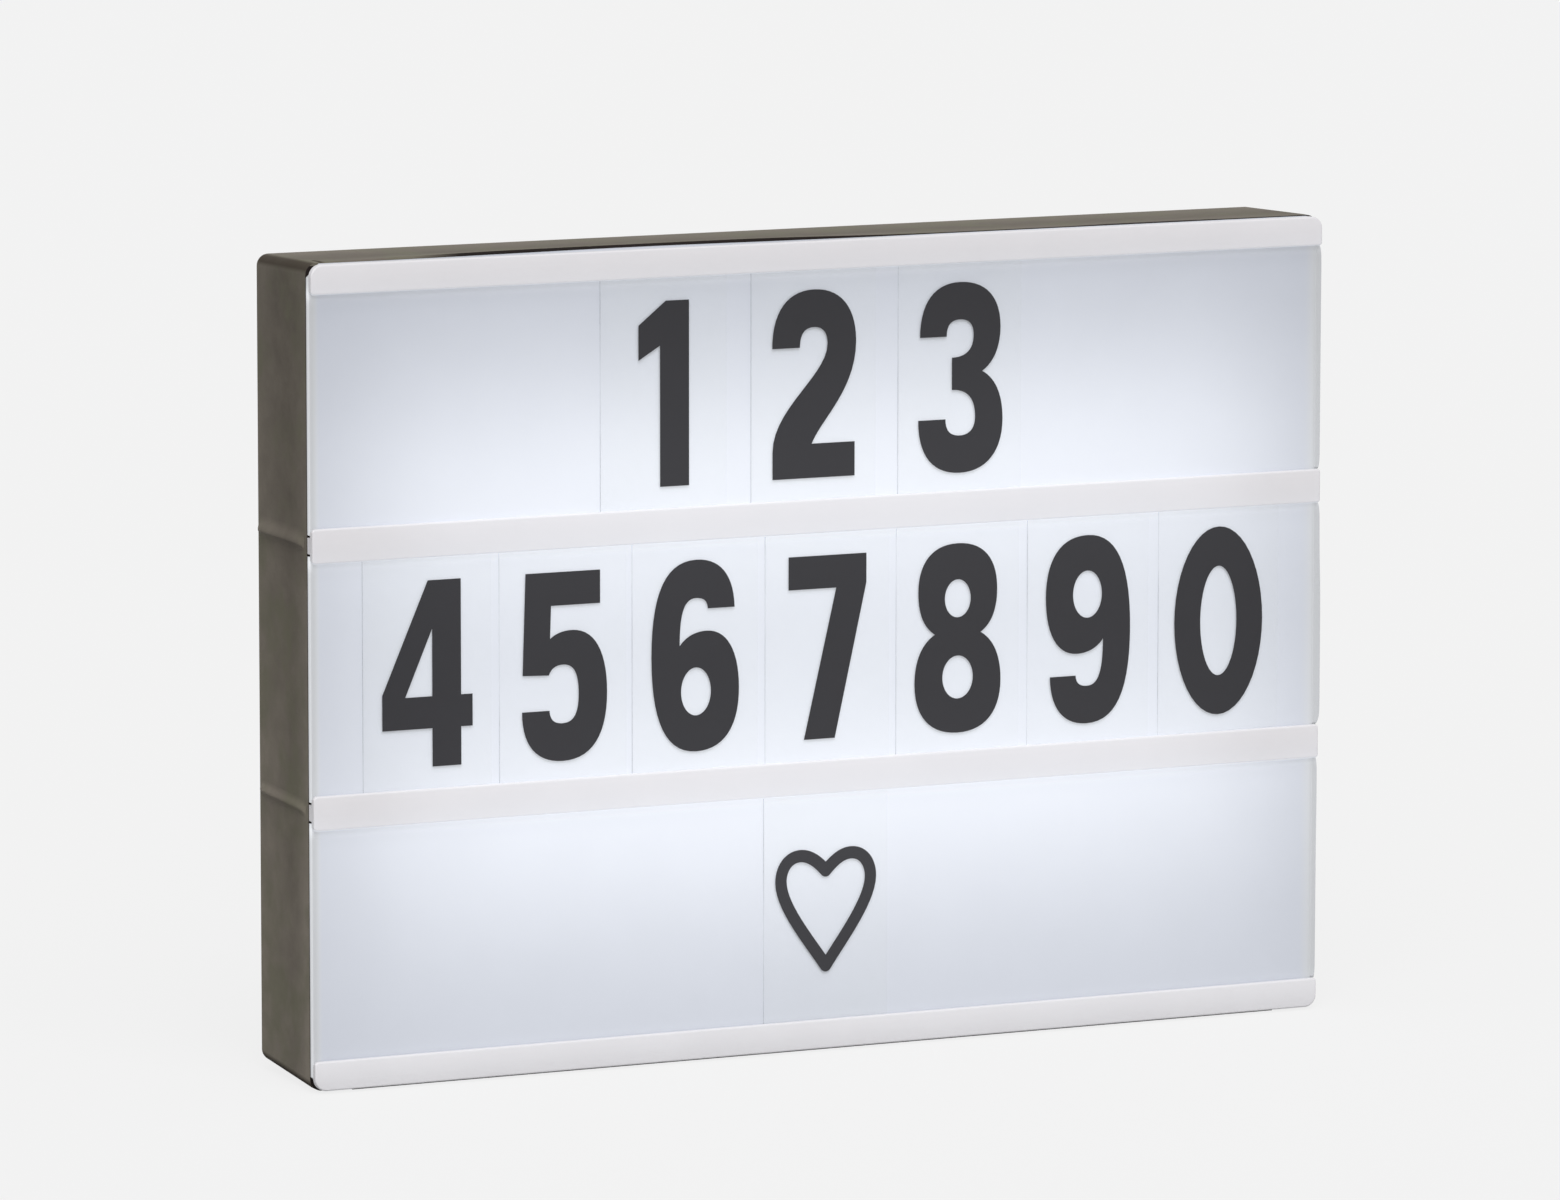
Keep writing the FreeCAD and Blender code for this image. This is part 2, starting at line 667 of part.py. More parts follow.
def contact_plate(name, first, last, base):
    """A nickel plate that joins the ends of the cells first to last."""
    return block(name,
                 (f"{cell_x(last)} - {cell_x(first)} + contact_size", "contact_size", "contact_thickness"),
                 (f"{cell_x(first)} - contact_size / 2", f"{CELL_Y} - contact_size / 2", base))


def contacts():
    """Three bridges below and, above, two bridges and two end plates with solder tags."""
    low = [contact_plate(f"low_bridge_{i}", i, i + 1, BAY_BOTTOM) for i in range(0, CELLS, 2)]
    top = f"{BAY_TOP} - contact_thickness"
    high = [contact_plate(f"high_bridge_{i}", i, i + 1, top) for i in range(1, CELLS - 1, 2)]
    for index in (0, CELLS - 1):
        plate = contact_plate(f"end_plate_{index}", index, index, top)
        tag = block(f"tag_{index}", ("tag_width", "contact_thickness", "tag_height"),
                    (f"{cell_x(index)} - tag_width / 2", f"{TAG_Y} - contact_thickness / 2",
                     f"{BAY_TOP} - contact_thickness"))
        high.append(fuse(f"tagged_plate_{index}", [plate, tag]))
    return group("lower_contacts", low), group("upper_contacts", high)


# ---------------------------------------------------------------- battery door

def battery_door():
    """A flush door that swings down on two moulded pins and lifts at a thumb tongue."""
    body = doc.addObject("PartDesign::Body", "door_plate")
    face = rectangle(f"0 - {DOOR_WIDTH} / 2", f"{DOOR_WIDTH} / 2", HINGE_Z, DOOR_TOP)
    pad(body, "door_pad", outline(body, "door_outline", "XZ_Plane", f"0 - {BACK_INSIDE}", face),
        "back_wall", True)
    barrel = rod("door_barrel", "back_wall / 2", DOOR_WIDTH,
                 (f"0 - {DOOR_WIDTH} / 2", HINGE_Y, HINGE_Z), SIDEWAYS)
    pins = rod("door_pins", "pin_radius", f"{DOOR_WIDTH} + pin_length * 2",
               (f"0 - {DOOR_WIDTH} / 2 - pin_length", HINGE_Y, HINGE_Z), SIDEWAYS)
    tongue = block("door_tongue", ("latch_width", "latch_thickness", "latch_height + wall"),
                   ("0 - latch_width / 2", f"{BACK} - latch_thickness", f"{DOOR_TOP} - wall"))
    solid = fuse("door_solid", [body, barrel, pins, tongue])
    grooves = [block(f"grip_{i}", ("grip_width", "grip_depth * 2", "grip_height"),
                     ("0 - grip_width / 2", f"{BACK} - grip_depth",
                      f"{DOOR_TOP} - grip_pitch * {i + 2}")) for i in range(GRIP_GROOVES)]
    return cut("battery_door", solid, grooves)


# ---------------------------------------------------------------- front panel

def rail_peg_xs():
    return [f"( ( {i} - {(PEGS_PER_RAIL - 1) / 2} ) * peg_spacing )" for i in range(PEGS_PER_RAIL)]


def rail_middle(name):
    """Half-way up a rail, where its pegs and tabs stand."""
    height = "middle_rail_height" if "middle" in name else "end_rail_height"
    return f"( {RAIL_BOTTOMS[name]} + {height} / 2 )"


def front_panel():
    """Opal plate with cut corners, a skirt inside the housing and six case screw bosses."""
    body = doc.addObject("PartDesign::Body", "panel_plate")
    left, right = f"{LEFT} + panel_corner_cut", f"{RIGHT} - panel_corner_cut"
    low, high = f"{FRAME_BOTTOM} + panel_corner_cut", f"{FRAME_TOP} - panel_corner_cut"
    face = [(left, FRAME_BOTTOM), (right, FRAME_BOTTOM), (RIGHT, low), (RIGHT, high),
            (right, FRAME_TOP), (left, FRAME_TOP), (LEFT, high), (LEFT, low)]
    pad(body, "panel_pad", outline(body, "panel_outline", "XZ_Plane", f"0 - {PANEL_FRONT}", face),
        "panel_thickness", True)
    round_edges(body, "panel_edges", "panel_edge_round", lambda edge: lies_on(edge, "y", PANEL_FRONT))
    reach = "( overall_width / 2 - wall - skirt_gap )"
    low = "( wall + skirt_gap )"
    outer = block("skirt_outer", (f"{reach} * 2", "skirt_depth + panel_thickness / 2",
                                  f"overall_height - {low} * 2"),
                  (f"0 - {reach}", f"{RIM} - panel_thickness / 2", low))
    inner = block("skirt_inner",
                  (f"( {reach} - skirt_wall ) * 2", "skirt_depth * 2",
                   f"overall_height - ( {low} + skirt_wall ) * 2"),
                  (f"0 - {reach} + skirt_wall", RIM, f"{low} + skirt_wall"))
    skirt = cut("panel_skirt", outer, [inner])
    bosses = [rod(f"boss_{i}", "boss_radius", f"{SHEET_FRONT} - {RIM} + panel_thickness / 2",
                  (x, f"{RIM} - panel_thickness / 2", z), BACKWARD) for i, (x, z) in enumerate(BOSSES)]
    grip = "( screw_length - screw_grip - sheet_thickness + pilot_run_out )"
    pilots = [rod(f"boss_pilot_{i}", "screw_radius + thread_gap", grip, (x, SHEET_FRONT, z), FORWARD)
              for i, (x, z) in enumerate(BOSSES)]
    notches = []
    holes = []
    for name in RAIL_BOTTOMS:
        middle = rail_middle(name)
        holes += [rod(f"{name}_peg_hole_{i}", "peg_radius + peg_gap", "panel_thickness * 2",
                      (x, f"{PANEL_FRONT} - panel_thickness / 2", middle), BACKWARD)
                  for i, x in enumerate(rail_peg_xs())]
        if "middle" in name:
            half = "( tab_height / 2 + notch_gap )"
            for side, x in (("left", f"{LEFT} - wall"), ("right", f"{RIGHT} - tab_reach - peg_gap")):
                notches.append(block(
                    f"{name}_notch_{side}",
                    ("tab_reach + peg_gap + wall", "panel_thickness * 2", f"{half} * 2"),
                    (x, f"{PANEL_FRONT} - panel_thickness / 2", f"{middle} - {half}")))
    return cut("front_panel", fuse("panel_solid", [body, skirt] + bosses), pilots + notches + holes)


# ---------------------------------------------------------------- rails

def rail_profile(name, top):
    """Cross-section in Y and Z: a front lip over one or two card grooves."""
    low = RAIL_BOTTOMS[name]
    corners = [(FRONT, low)]
    if name == "bottom_rail":
        corners += [(PANEL_FRONT, low)]
    else:
        edge = f"{low} + groove_height"
        corners += [(LIP_BACK, low), (LIP_BACK, edge), (PANEL_FRONT, edge)]
    if name == "top_rail":
        corners += [(PANEL_FRONT, top)]
    else:
        edge = f"{top} - groove_height"
        corners += [(PANEL_FRONT, edge), (LIP_BACK, edge), (LIP_BACK, top)]
    return corners + [(FRONT, top)]


def rail(name):
    height = "middle_rail_height" if "middle" in name else "end_rail_height"
    low = RAIL_BOTTOMS[name]
    top = f"( {low} + {height} )"
    body = doc.addObject("PartDesign::Body", f"{name}_bar")
    section = outline(body, f"{name}_section", "YZ_Plane", LEFT, rail_profile(name, top))
    pad(body, f"{name}_pad", section, "overall_width")
    outer = {"top_rail": number(top), "bottom_rail": number(low)}.get(name)

    def is_end_corner(edge):
        flat = lies_on(edge, "x", LEFT) or lies_on(edge, "x", RIGHT)
        return flat and spans(edge, "z") < 1e-4

    def is_outer(edge):
        return is_end_corner(edge) and outer is not None and abs(edge.BoundBox.ZMin - outer) < 1e-4

    def is_lip(edge):
        box = edge.BoundBox
        level = min(abs(box.ZMin - number(low)), abs(box.ZMin - number(top)))
        return is_end_corner(edge) and not is_outer(edge) and level < 1e-4

    if outer is not None:
        round_edges(body, f"{name}_big_rounds", "rail_corner", is_outer)
    round_edges(body, f"{name}_small_rounds", "rail_small_corner", is_lip)
    round_edges(body, f"{name}_face_rounds", "rail_edge_round", lambda edge: lies_on(edge, "y", FRONT))

    pieces = [body]
    stops = {}
    if name != "bottom_rail":
        stops["low"] = f"{low} + rail_small_corner"
    if name != "top_rail":
        stops["high"] = f"{top} - groove_height"
    for level, base in stops.items():
        for side, x in (("left", LEFT), ("right", f"{RIGHT} - stop_length")):
            pieces.append(block(
                f"{name}_stop_{side}_{level}",
                ("stop_length", "rail_proud - lip_thickness / 2", "groove_height - rail_small_corner"),
                (x, f"{FRONT} + lip_thickness / 2", base)))
    middle = rail_middle(name)
    pieces += [rod(f"{name}_peg_{i}", "peg_radius", "panel_thickness + lip_thickness",
                   (x, f"{PANEL_FRONT} - lip_thickness / 2", middle), BACKWARD)
               for i, x in enumerate(rail_peg_xs())]
    if "middle" in name:
        for side, x in (("left", LEFT), ("right", f"{RIGHT} - tab_reach")):
            pieces.append(block(
                f"{name}_tab_{side}",
                ("tab_reach", "panel_thickness + lip_thickness / 2", "tab_height"),
                (x, f"{PANEL_FRONT} - lip_thickness / 2", f"{middle} - tab_height / 2")))
    return fuse(name, pieces)


# ---------------------------------------------------------------- letter cards

CARD_ROWS = [
    ("upper_middle_rail", "middle_rail_height", [f"card_{i}" for i in range(1, 4)]),
    ("lower_middle_rail", "middle_rail_height", [f"card_{i}" for i in range(4, 11)]),
    ("bottom_rail", "end_rail_height", ["heart_card"]),
]


def letter_cards():
    """Clear cards that stand in the grooves above and below their row."""
    cards = []
    middle = f"( ( {LIP_BACK} + {PANEL_FRONT} ) / 2 )"
    for below, height, names in CARD_ROWS:
        base = f"( {RAIL_BOTTOMS[below]} + {height} - groove_height + card_gap )"
        for name in names:
            cards.append(block(
                name,
                ("card_width", "card_thickness", f"{OPENING} + ( groove_height - card_gap ) * 2"),
                (f"{name}_edge", f"{middle} - card_thickness / 2", base)))
    return cards


# ---------------------------------------------------------------- reflector and lamp boards


def reflector_sheet():
    """White sheet clamped between the housing posts and the panel bosses."""
    side = "( wall + draft_inset + sheet_margin )"
    plate = block("sheet_plate",
                  (f"overall_width - {side} * 2", "sheet_thickness", f"overall_height - {side} * 2"),
                  (f"{LEFT} + {side}", SHEET_FRONT, side))
    start = f"{SHEET_FRONT} - sheet_thickness"
    long = "sheet_thickness * 3"
    holes = [rod(f"sheet_boss_hole_{i}", "screw_radius + screw_slack", long, (x, start, z), BACKWARD)
             for i, (x, z) in enumerate(BOSSES)]
    holes += [rod(f"sheet_board_hole_{i}", "small_screw_radius + screw_slack", long, (x, start, z),
                  BACKWARD) for i, (x, z) in enumerate(BOARD_SCREWS)]
    for lead_name, x in LEAD_XS.items():
        for row_name, z in BOARD_HEIGHTS.items():
            if row_name == "upper" or lead_name.endswith("link"):
                holes.append(rod(f"sheet_{lead_name}_{row_name}", "lead_hole_radius", long,
                                 (x, start, z), BACKWARD))
    return cut("reflector_sheet", plate, holes)


def lamp_board(row_name, z):
    plate = block(f"{row_name}_board_plate", (BOARD_LENGTH, "board_thickness", "board_width"),
                  (f"0 - {BOARD_LENGTH} / 2", BOARD_FRONT, f"{z} - board_width / 2"))
    holes = [rod(f"{row_name}_board_hole_{i}", "small_screw_radius + screw_slack",
                 "board_thickness * 3", (x, f"{BOARD_FRONT} - board_thickness", z), BACKWARD)
             for i, x in enumerate(BOARD_SCREW_XS)]
    return cut(f"{row_name}_led_board", plate, holes)


def lamp_leds(row_name, z):
    return group(f"{row_name}_leds", [
        block(f"{row_name}_led_{i}", ("led_size", "led_height", "led_size"),
              (f"{LEFT} + led_end_inset + {LED_PITCH} * {i} - led_size / 2",
               f"{BOARD_FRONT} - led_height", f"{z} - led_size / 2"))
        for i in range(LEDS_PER_BOARD)])


# ---------------------------------------------------------------- screws

def screw(name, head, shank, seat, direction):
    """A screw whose head bears on seat and whose shank runs along direction."""
    head_radius, head_height = head
    radius, length = shank
    away = tuple(-step for step in direction)
    return fuse(name, [rod(f"{name}_head", head_radius, head_height, seat, away),
                       rod(f"{name}_shank", radius, length, seat, direction)])


def case_screws():
    head = ("screw_head_radius", "screw_head_height")
    shank = ("screw_radius", "screw_length")
    return group("case_screws", [
        screw(f"case_screw_{i}", head, shank, (x, f"{SHEET_BACK} + screw_grip", z), FORWARD)
        for i, (x, z) in enumerate(BOSSES)])


def small_screws(name, places, face):
    head = ("small_head_radius", "small_head_height")
    shank = ("small_screw_radius", "small_screw_length")
    return group(name, [screw(f"{name}_{i}", head, shank, (x, face, z), BACKWARD)
                        for i, (x, z) in enumerate(places)])


# ---------------------------------------------------------------- rocker switch

def switch_body():
    """Flanged frame with a well for the rocker and blind bores for its pins."""
    case = block("switch_case", ("switch_body_depth + switch_flange", SWITCH_WIDTH, SWITCH_HEIGHT),
                 (f"{SWITCH_SEAT} - switch_body_depth", f"{SWITCH_Y} - {SWITCH_WIDTH} / 2",
                  f"switch_height - {SWITCH_HEIGHT} / 2"))
    flange = block("switch_rim", ("switch_flange", f"{SWITCH_WIDTH} + switch_flange_edge * 2",
                                  f"{SWITCH_HEIGHT} + switch_flange_edge * 2"),
                   (SWITCH_SEAT, f"{SWITCH_Y} - {SWITCH_WIDTH} / 2 - switch_flange_edge",
                    f"switch_height - {SWITCH_HEIGHT} / 2 - switch_flange_edge"))
    room = "( rocker_width + rocker_gap )"
    tall = "( rocker_height + rocker_gap * 2 )"
    well = block("switch_well", ("rocker_well + wall", room, tall),
                 (f"{FLANGE_FACE} - rocker_well", f"{SWITCH_Y} - {room} / 2",
                  f"switch_height - {tall} / 2"))
    bore = "( rocker_width + ( rocker_pin_length + rocker_pin_end_gap ) * 2 )"
    bores = rod("rocker_bores", "rocker_pin_radius + pin_gap", bore,
                (PIVOT_X, f"{SWITCH_Y} - {bore} / 2", "switch_height"), BACKWARD)
    return cut("switch_body", fuse("switch_solid", [case, flange]), [well, bores])


def rocker():
    """Dished rocker, drawn level about its pivot and tipped to the lit side by its placement."""
    body = doc.addObject("PartDesign::Body", "rocker_key")
    half = "rocker_height / 2"
    section = [("0 - rocker_skirt", f"0 - {half}"), ("rocker_crown", f"0 - {half}"),
               ("rocker_dip", "0"), ("rocker_crown", half), ("0 - rocker_skirt", half),
               ("0 - rocker_depth", f"{half} / 2"), ("0 - rocker_depth", f"0 - {half} / 2")]
    pad(body, "rocker_pad", outline(body, "rocker_section", "XZ_Plane", "0 - rocker_width / 2", section),
        "rocker_width")
    pins = rod("rocker_pins", "rocker_pin_radius", "rocker_width + rocker_pin_length * 2",
               ("0", "0 - rocker_width / 2 - rocker_pin_length", "0"), BACKWARD)
    key = fuse("rocker", [body, pins])
    key.Placement = FreeCAD.Placement(FreeCAD.Vector(), FreeCAD.Rotation(FreeCAD.Vector(0, 1, 0), 1))
    bind(key, {"Placement.Rotation.Angle": "rocker_tilt"})
    return place(key, (PIVOT_X, SWITCH_Y, "switch_height"))


def switch_terminals():
    return group("switch_terminals", [
        block(f"terminal_{row_name}", ("terminal_length", "terminal_width", "terminal_thickness"),
              (TERMINAL_TIP, f"{SWITCH_Y} - terminal_width / 2", f"{z} - terminal_thickness / 2"))
        for row_name, z in TERMINAL_ZS.items()])


# ---------------------------------------------------------------- power board

def power_board():
    plate = block("power_plate", ("power_board_length", "board_thickness", "power_board_height"),
                  (POWER_LEFT, POWER_FRONT, "power_board_base"))
    holes = [rod(f"power_hole_{i}", "small_screw_radius + screw_slack", "board_thickness * 3",
                 (x, f"{POWER_FRONT} - board_thickness", z), BACKWARD)
             for i, (x, z) in enumerate(POWER_SCREWS)]
    return cut("power_board", plate, holes)


def usb_socket():
    """A thin metal shell round a contact tongue, open to the right."""
    left = f"( {POWER_RIGHT} + usb_overhang - usb_depth )"
    shell = block("usb_shell_block", ("usb_depth", "usb_thickness", "usb_width"),
                  (left, f"{POWER_FRONT} - usb_thickness", f"{USB_HEIGHT} - usb_width / 2"))
    mouth = block("usb_mouth",
                  ("usb_depth", "usb_thickness - usb_shell * 2", "usb_width - usb_shell * 2"),
                  (f"{left} + usb_shell", f"{POWER_FRONT} - usb_thickness + usb_shell",
                   f"{USB_HEIGHT} - usb_width / 2 + usb_shell"))
    tongue = block("usb_tongue", ("usb_depth - usb_overhang", "usb_shell * 2", "usb_width / 2"),
                   (left, f"{POWER_FRONT} - usb_thickness / 2 - usb_shell",
                    f"{USB_HEIGHT} - usb_width / 4"))
    return fuse("usb_socket", [cut("usb_shell_open", shell, [mouth]), tongue])


# ---------------------------------------------------------------- wiring

def lead(name, stops):
    """A round lead: straight runs joined by tangent arcs through the given stops."""
    points = [FreeCAD.Vector(*(number(text) for text in stop)) for stop in stops]
    bend = number("lead_bend")
    edges = []
    start = points[0]
    for before, corner, after in zip(points, points[1:], points[2:]):
        into = (corner - before).normalize()
        out = (after - corner).normalize()
        arc_start = corner - into * bend
        arc_end = corner + out * bend
        centre = corner + (out - into) * bend
        middle = centre + (corner - centre).normalize() * bend
        edges.append(Part.LineSegment(start, arc_start).toShape())
        edges.append(Part.Arc(arc_start, middle, arc_end).toShape())
        start = arc_end
    edges.append(Part.LineSegment(start, points[-1]).toShape())
    path = Part.Wire(edges)
    radius = number("lead_radius")
    profile = Part.Wire(Part.makeCircle(radius, points[0], points[1] - points[0]))
    solid = path.makePipeShell([profile], True, False)
    expected = math.pi * radius ** 2 * path.Length
    if abs(solid.Volume - expected) > expected * 0.01:
        raise ValueError(f"{name}: lead volume {solid.Volume:.1f}, section x length {expected:.1f}")
    wire = doc.addObject("Part::Feature", name)
    wire.Shape = solid
    return wire


def leads():
    """Battery to power board, board to switch, switch and board to the lamp boards."""
    tag_top = f"{BAY_TOP} - contact_thickness + tag_height"
    pad_height = f"{BOARD_TOP} - lead_pad_drop"
    board_y = f"{POWER_FRONT} + board_thickness / 2"
    link_y = f"{SHEET_BACK} + link_depth"
    upper = BOARD_HEIGHTS["upper"]
    lower = BOARD_HEIGHTS["lower"]
    made = []
    for colour, index in (("red", CELLS - 1), ("black", 0)):
        height = f"{tag_top} + {colour}_battery_rise"
        x = f"{POWER_LEFT} + {colour}_battery_inset"
        made.append(lead(f"battery_lead_{colour}", [
            (cell_x(index), TAG_Y, tag_top), (cell_x(index), TAG_Y, height), (x, TAG_Y, height),
            (x, TAG_Y, pad_height), (x, POWER_FRONT, pad_height)]))
    red_x = LEAD_XS["red_led"]
    black_x = LEAD_XS["black_led"]
    made.append(lead("switch_lead", [
        (TERMINAL_TIP, SWITCH_Y, TERMINAL_ZS["lower"]), (red_x, SWITCH_Y, TERMINAL_ZS["lower"]),
        (red_x, SWITCH_Y, BOARD_TOP)]))
    made.append(lead("led_lead_red", [
        (TERMINAL_TIP, SWITCH_Y, TERMINAL_ZS["upper"]), (red_x, SWITCH_Y, TERMINAL_ZS["upper"]),
        (red_x, SWITCH_Y, upper), (red_x, SHEET_FRONT, upper)]))
    made.append(lead("led_lead_black", [
        (black_x, board_y, BOARD_TOP), (black_x, board_y, upper), (black_x, SHEET_FRONT, upper)]))
    for colour in ("red", "black"):
        x = LEAD_XS[f"{colour}_link"]
        made.append(lead(f"link_lead_{colour}", [
            (x, SHEET_FRONT, upper), (x, link_y, upper), (x, link_y, lower),
            (x, SHEET_FRONT, lower)]))
    return made


# ---------------------------------------------------------------- build and export

sub_part(rear_housing())
sub_part(front_panel())
for rail_name in RAIL_BOTTOMS:
    sub_part(rail(rail_name))
for card in letter_cards():
    sub_part(card)
sub_part(reflector_sheet())
for board_name, board_height in BOARD_HEIGHTS.items():
    sub_part(lamp_board(board_name, board_height))
    sub_part(lamp_leds(board_name, board_height))
sub_part(small_screws("led_board_screws", BOARD_SCREWS, BOARD_FRONT))
sub_part(case_screws())
sub_part(battery_door())
for cell_index in range(CELLS):
    sub_part(battery(cell_index))
sub_part(battery_springs())
for contact_set in contacts():
    sub_part(contact_set)
sub_part(switch_body())
sub_part(rocker())
sub_part(switch_terminals())
sub_part(power_board())
sub_part(usb_socket())
sub_part(small_screws("power_board_screws", POWER_SCREWS, POWER_FRONT))
for wire_lead in leads():
    sub_part(wire_lead)
doc.recompute()

for thing in doc.Objects:
    if {"Invalid", "Error"} & set(thing.State):
        raise ValueError(f"{thing.Label}: {thing.State}")

os.makedirs("parts", exist_ok=True)
for thing in sub_parts:
    shape = thing.Shape
    if shape.isNull() or not shape.isValid() or not shape.Solids:
        raise ValueError(f"{thing.Label}: no valid solid")
    shape.exportStep(f"parts/{thing.Label}.step")
print(len(sub_parts), "sub-parts written")
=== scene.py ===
import bpy
import numpy as np
from mathutils import Matrix, Vector


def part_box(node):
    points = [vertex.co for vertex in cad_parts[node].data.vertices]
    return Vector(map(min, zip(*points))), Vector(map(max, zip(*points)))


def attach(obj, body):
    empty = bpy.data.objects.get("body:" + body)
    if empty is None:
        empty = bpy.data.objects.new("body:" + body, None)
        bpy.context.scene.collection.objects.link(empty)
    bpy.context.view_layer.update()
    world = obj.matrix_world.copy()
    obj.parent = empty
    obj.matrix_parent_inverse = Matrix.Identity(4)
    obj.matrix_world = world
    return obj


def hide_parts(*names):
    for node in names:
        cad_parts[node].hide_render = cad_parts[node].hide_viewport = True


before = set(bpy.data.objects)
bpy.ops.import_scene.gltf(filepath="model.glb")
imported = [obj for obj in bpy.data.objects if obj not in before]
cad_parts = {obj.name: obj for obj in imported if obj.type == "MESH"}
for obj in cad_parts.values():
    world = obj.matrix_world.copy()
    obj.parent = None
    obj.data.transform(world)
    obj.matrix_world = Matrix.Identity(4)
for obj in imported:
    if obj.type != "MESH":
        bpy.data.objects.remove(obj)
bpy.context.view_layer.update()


# ------------------------------------------------------------------ rear housing
# A drafted tray moulded in black ABS from a spark-eroded tool, so it is matt and finely grained.
# Its front edge is painted dark for the shade where the panel covers it, and the panel stands off
# it a little along the top. Two creases run across its left wall, level with the middle rails.

def linear(code):
    """An sRGB hex colour such as "5B554B" as linear red, green, blue and full alpha."""
    share = np.array([int(code[i:i + 2], 16) for i in (0, 2, 4)]) / 255
    return (*np.where(share <= 0.04045, share / 12.92, ((share + 0.055) / 1.055) ** 2.4), 1.0)


def plug(material, node, inputs):
    """Set a node's inputs, by name or by place. Each value is a number, a colour, another node's
    output, or a node, which stands for its first output.

    A Map Range node takes its value at place 0, its range at 1 and 2 and the new range at 3 and
    4. A colour Mix node takes its share at place 0 and its colours at 6 and 7, and gives the mix
    as its output 2.
    """
    for name, value in inputs.items():
        if isinstance(value, bpy.types.Node):
            value = value.outputs[0]
        if isinstance(value, bpy.types.NodeSocket):
            material.node_tree.links.new(value, node.inputs[name])
        else:
            node.inputs[name].default_value = value


def add_node(material, kind, inputs={}, **settings):
    """One more node of a material, with its own options as settings."""
    made = material.node_tree.nodes.new(kind)
    for name, value in settings.items():
        setattr(made, name, value)
    plug(material, made, inputs)
    return made


def start_finish(name):
    """A new material, its shader, and the place on the object that its patterns read."""
    material = bpy.data.materials.new(name)
    material.use_nodes = True
    place = add_node(material, "ShaderNodeTexCoord").outputs["Object"]
    return material, material.node_tree.nodes["Principled BSDF"], place


def dress(material, *nodes):
    """Put a material in every slot of the named solids."""
    for node in nodes:
        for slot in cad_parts[node].material_slots:
            slot.material = material


black_abs, shader, place = start_finish("moulded_black_abs")
axes = add_node(black_abs, "ShaderNodeSeparateXYZ", {0: place}).outputs
facing = add_node(black_abs, "ShaderNodeTexCoord").outputs["Normal"]
facing = add_node(black_abs, "ShaderNodeSeparateXYZ", {0: facing}).outputs
# the real grain is about 0.2 mm; it is drawn at 0.9 mm, the finest that shows
grain = add_node(black_abs, "ShaderNodeTexNoise",
                 {"Vector": place, "Scale": 1 / 0.0009, "Detail": 2.0, "Roughness": 0.6})
mottle = add_node(black_abs, "ShaderNodeTexNoise",
                  {"Vector": place, "Scale": 1 / 0.011, "Detail": 4.0, "Roughness": 0.65})
# painted light: the walls are painted paler low down, and toward their front and back from 4 mm
# before the middle
painted_light_drift = add_node(black_abs, "ShaderNodeMath", {0: axes["Z"], 1: -2.5, 2: 0.03},
                 operation="MULTIPLY_ADD")
fold = add_node(black_abs, "ShaderNodeMath", {0: axes["Y"], 1: 0.004}, operation="ADD")
fold = add_node(black_abs, "ShaderNodeMath", {0: fold}, operation="ABSOLUTE")
painted_light_drift = add_node(black_abs, "ShaderNodeMath", {0: fold, 1: 20.0, 2: painted_light_drift},
                 operation="MULTIPLY_ADD")
# painted light: their front lip is painted paler still, most of all low down
lip_painted_light = add_node(black_abs, "ShaderNodeMapRange", {0: axes["Y"], 1: -0.008, 2: -0.0145})
low_down = add_node(black_abs, "ShaderNodeMapRange",
                    {0: axes["Z"], 1: 0.06, 2: 0.15, 3: 0.26, 4: 0.08})
painted_light_drift = add_node(black_abs, "ShaderNodeMath", {0: lip_painted_light, 1: low_down, 2: painted_light_drift},
                 operation="MULTIPLY_ADD")
tone = add_node(black_abs, "ShaderNodeMath", {0: mottle, 1: 1.0, 2: painted_light_drift},
                operation="MULTIPLY_ADD")
tone = add_node(black_abs, "ShaderNodeMapRange", {0: tone})
body = add_node(black_abs, "ShaderNodeMix",
                {0: tone, 6: linear("5E5850"), 7: linear("847D73")}, data_type="RGBA")
# carbon black shows faintly olive where it clumped, in patches of some 20 mm
patch = add_node(black_abs, "ShaderNodeTexNoise",
                 {"Vector": place, "Scale": 1 / 0.02, "Detail": 3.0, "Roughness": 0.7})
patch = add_node(black_abs, "ShaderNodeMapRange", {0: patch, 1: 0.45, 2: 0.65, 4: 0.55})
body = add_node(black_abs, "ShaderNodeMix",
                {0: patch, 6: body.outputs[2], 7: linear("666654")}, data_type="RGBA")
# painted reflection: the rounded corners along the top and the bottom are painted darker, standing
# in for the dark reflection they catch
painted_corner_shade = add_node(black_abs, "ShaderNodeMath", {0: facing["X"], 1: facing["Z"]},
                  operation="MULTIPLY")
painted_corner_shade = add_node(black_abs, "ShaderNodeMath", {0: painted_corner_shade}, operation="ABSOLUTE")
painted_corner_shade = add_node(black_abs, "ShaderNodeMapRange", {0: painted_corner_shade, 1: 0.08, 2: 0.4, 4: 0.9})
away = add_node(black_abs, "ShaderNodeMath", {0: axes["Z"], 1: -0.1107}, operation="ADD")
away = add_node(black_abs, "ShaderNodeMath", {0: away}, operation="ABSOLUTE")
away = add_node(black_abs, "ShaderNodeMath", {0: away, 1: 0.105}, operation="GREATER_THAN")
painted_corner_shade = add_node(black_abs, "ShaderNodeMath", {0: painted_corner_shade, 1: away},
                  operation="MULTIPLY")
body = add_node(black_abs, "ShaderNodeMix",
                {0: painted_corner_shade, 6: body.outputs[2], 7: linear("3A332B")}, data_type="RGBA")
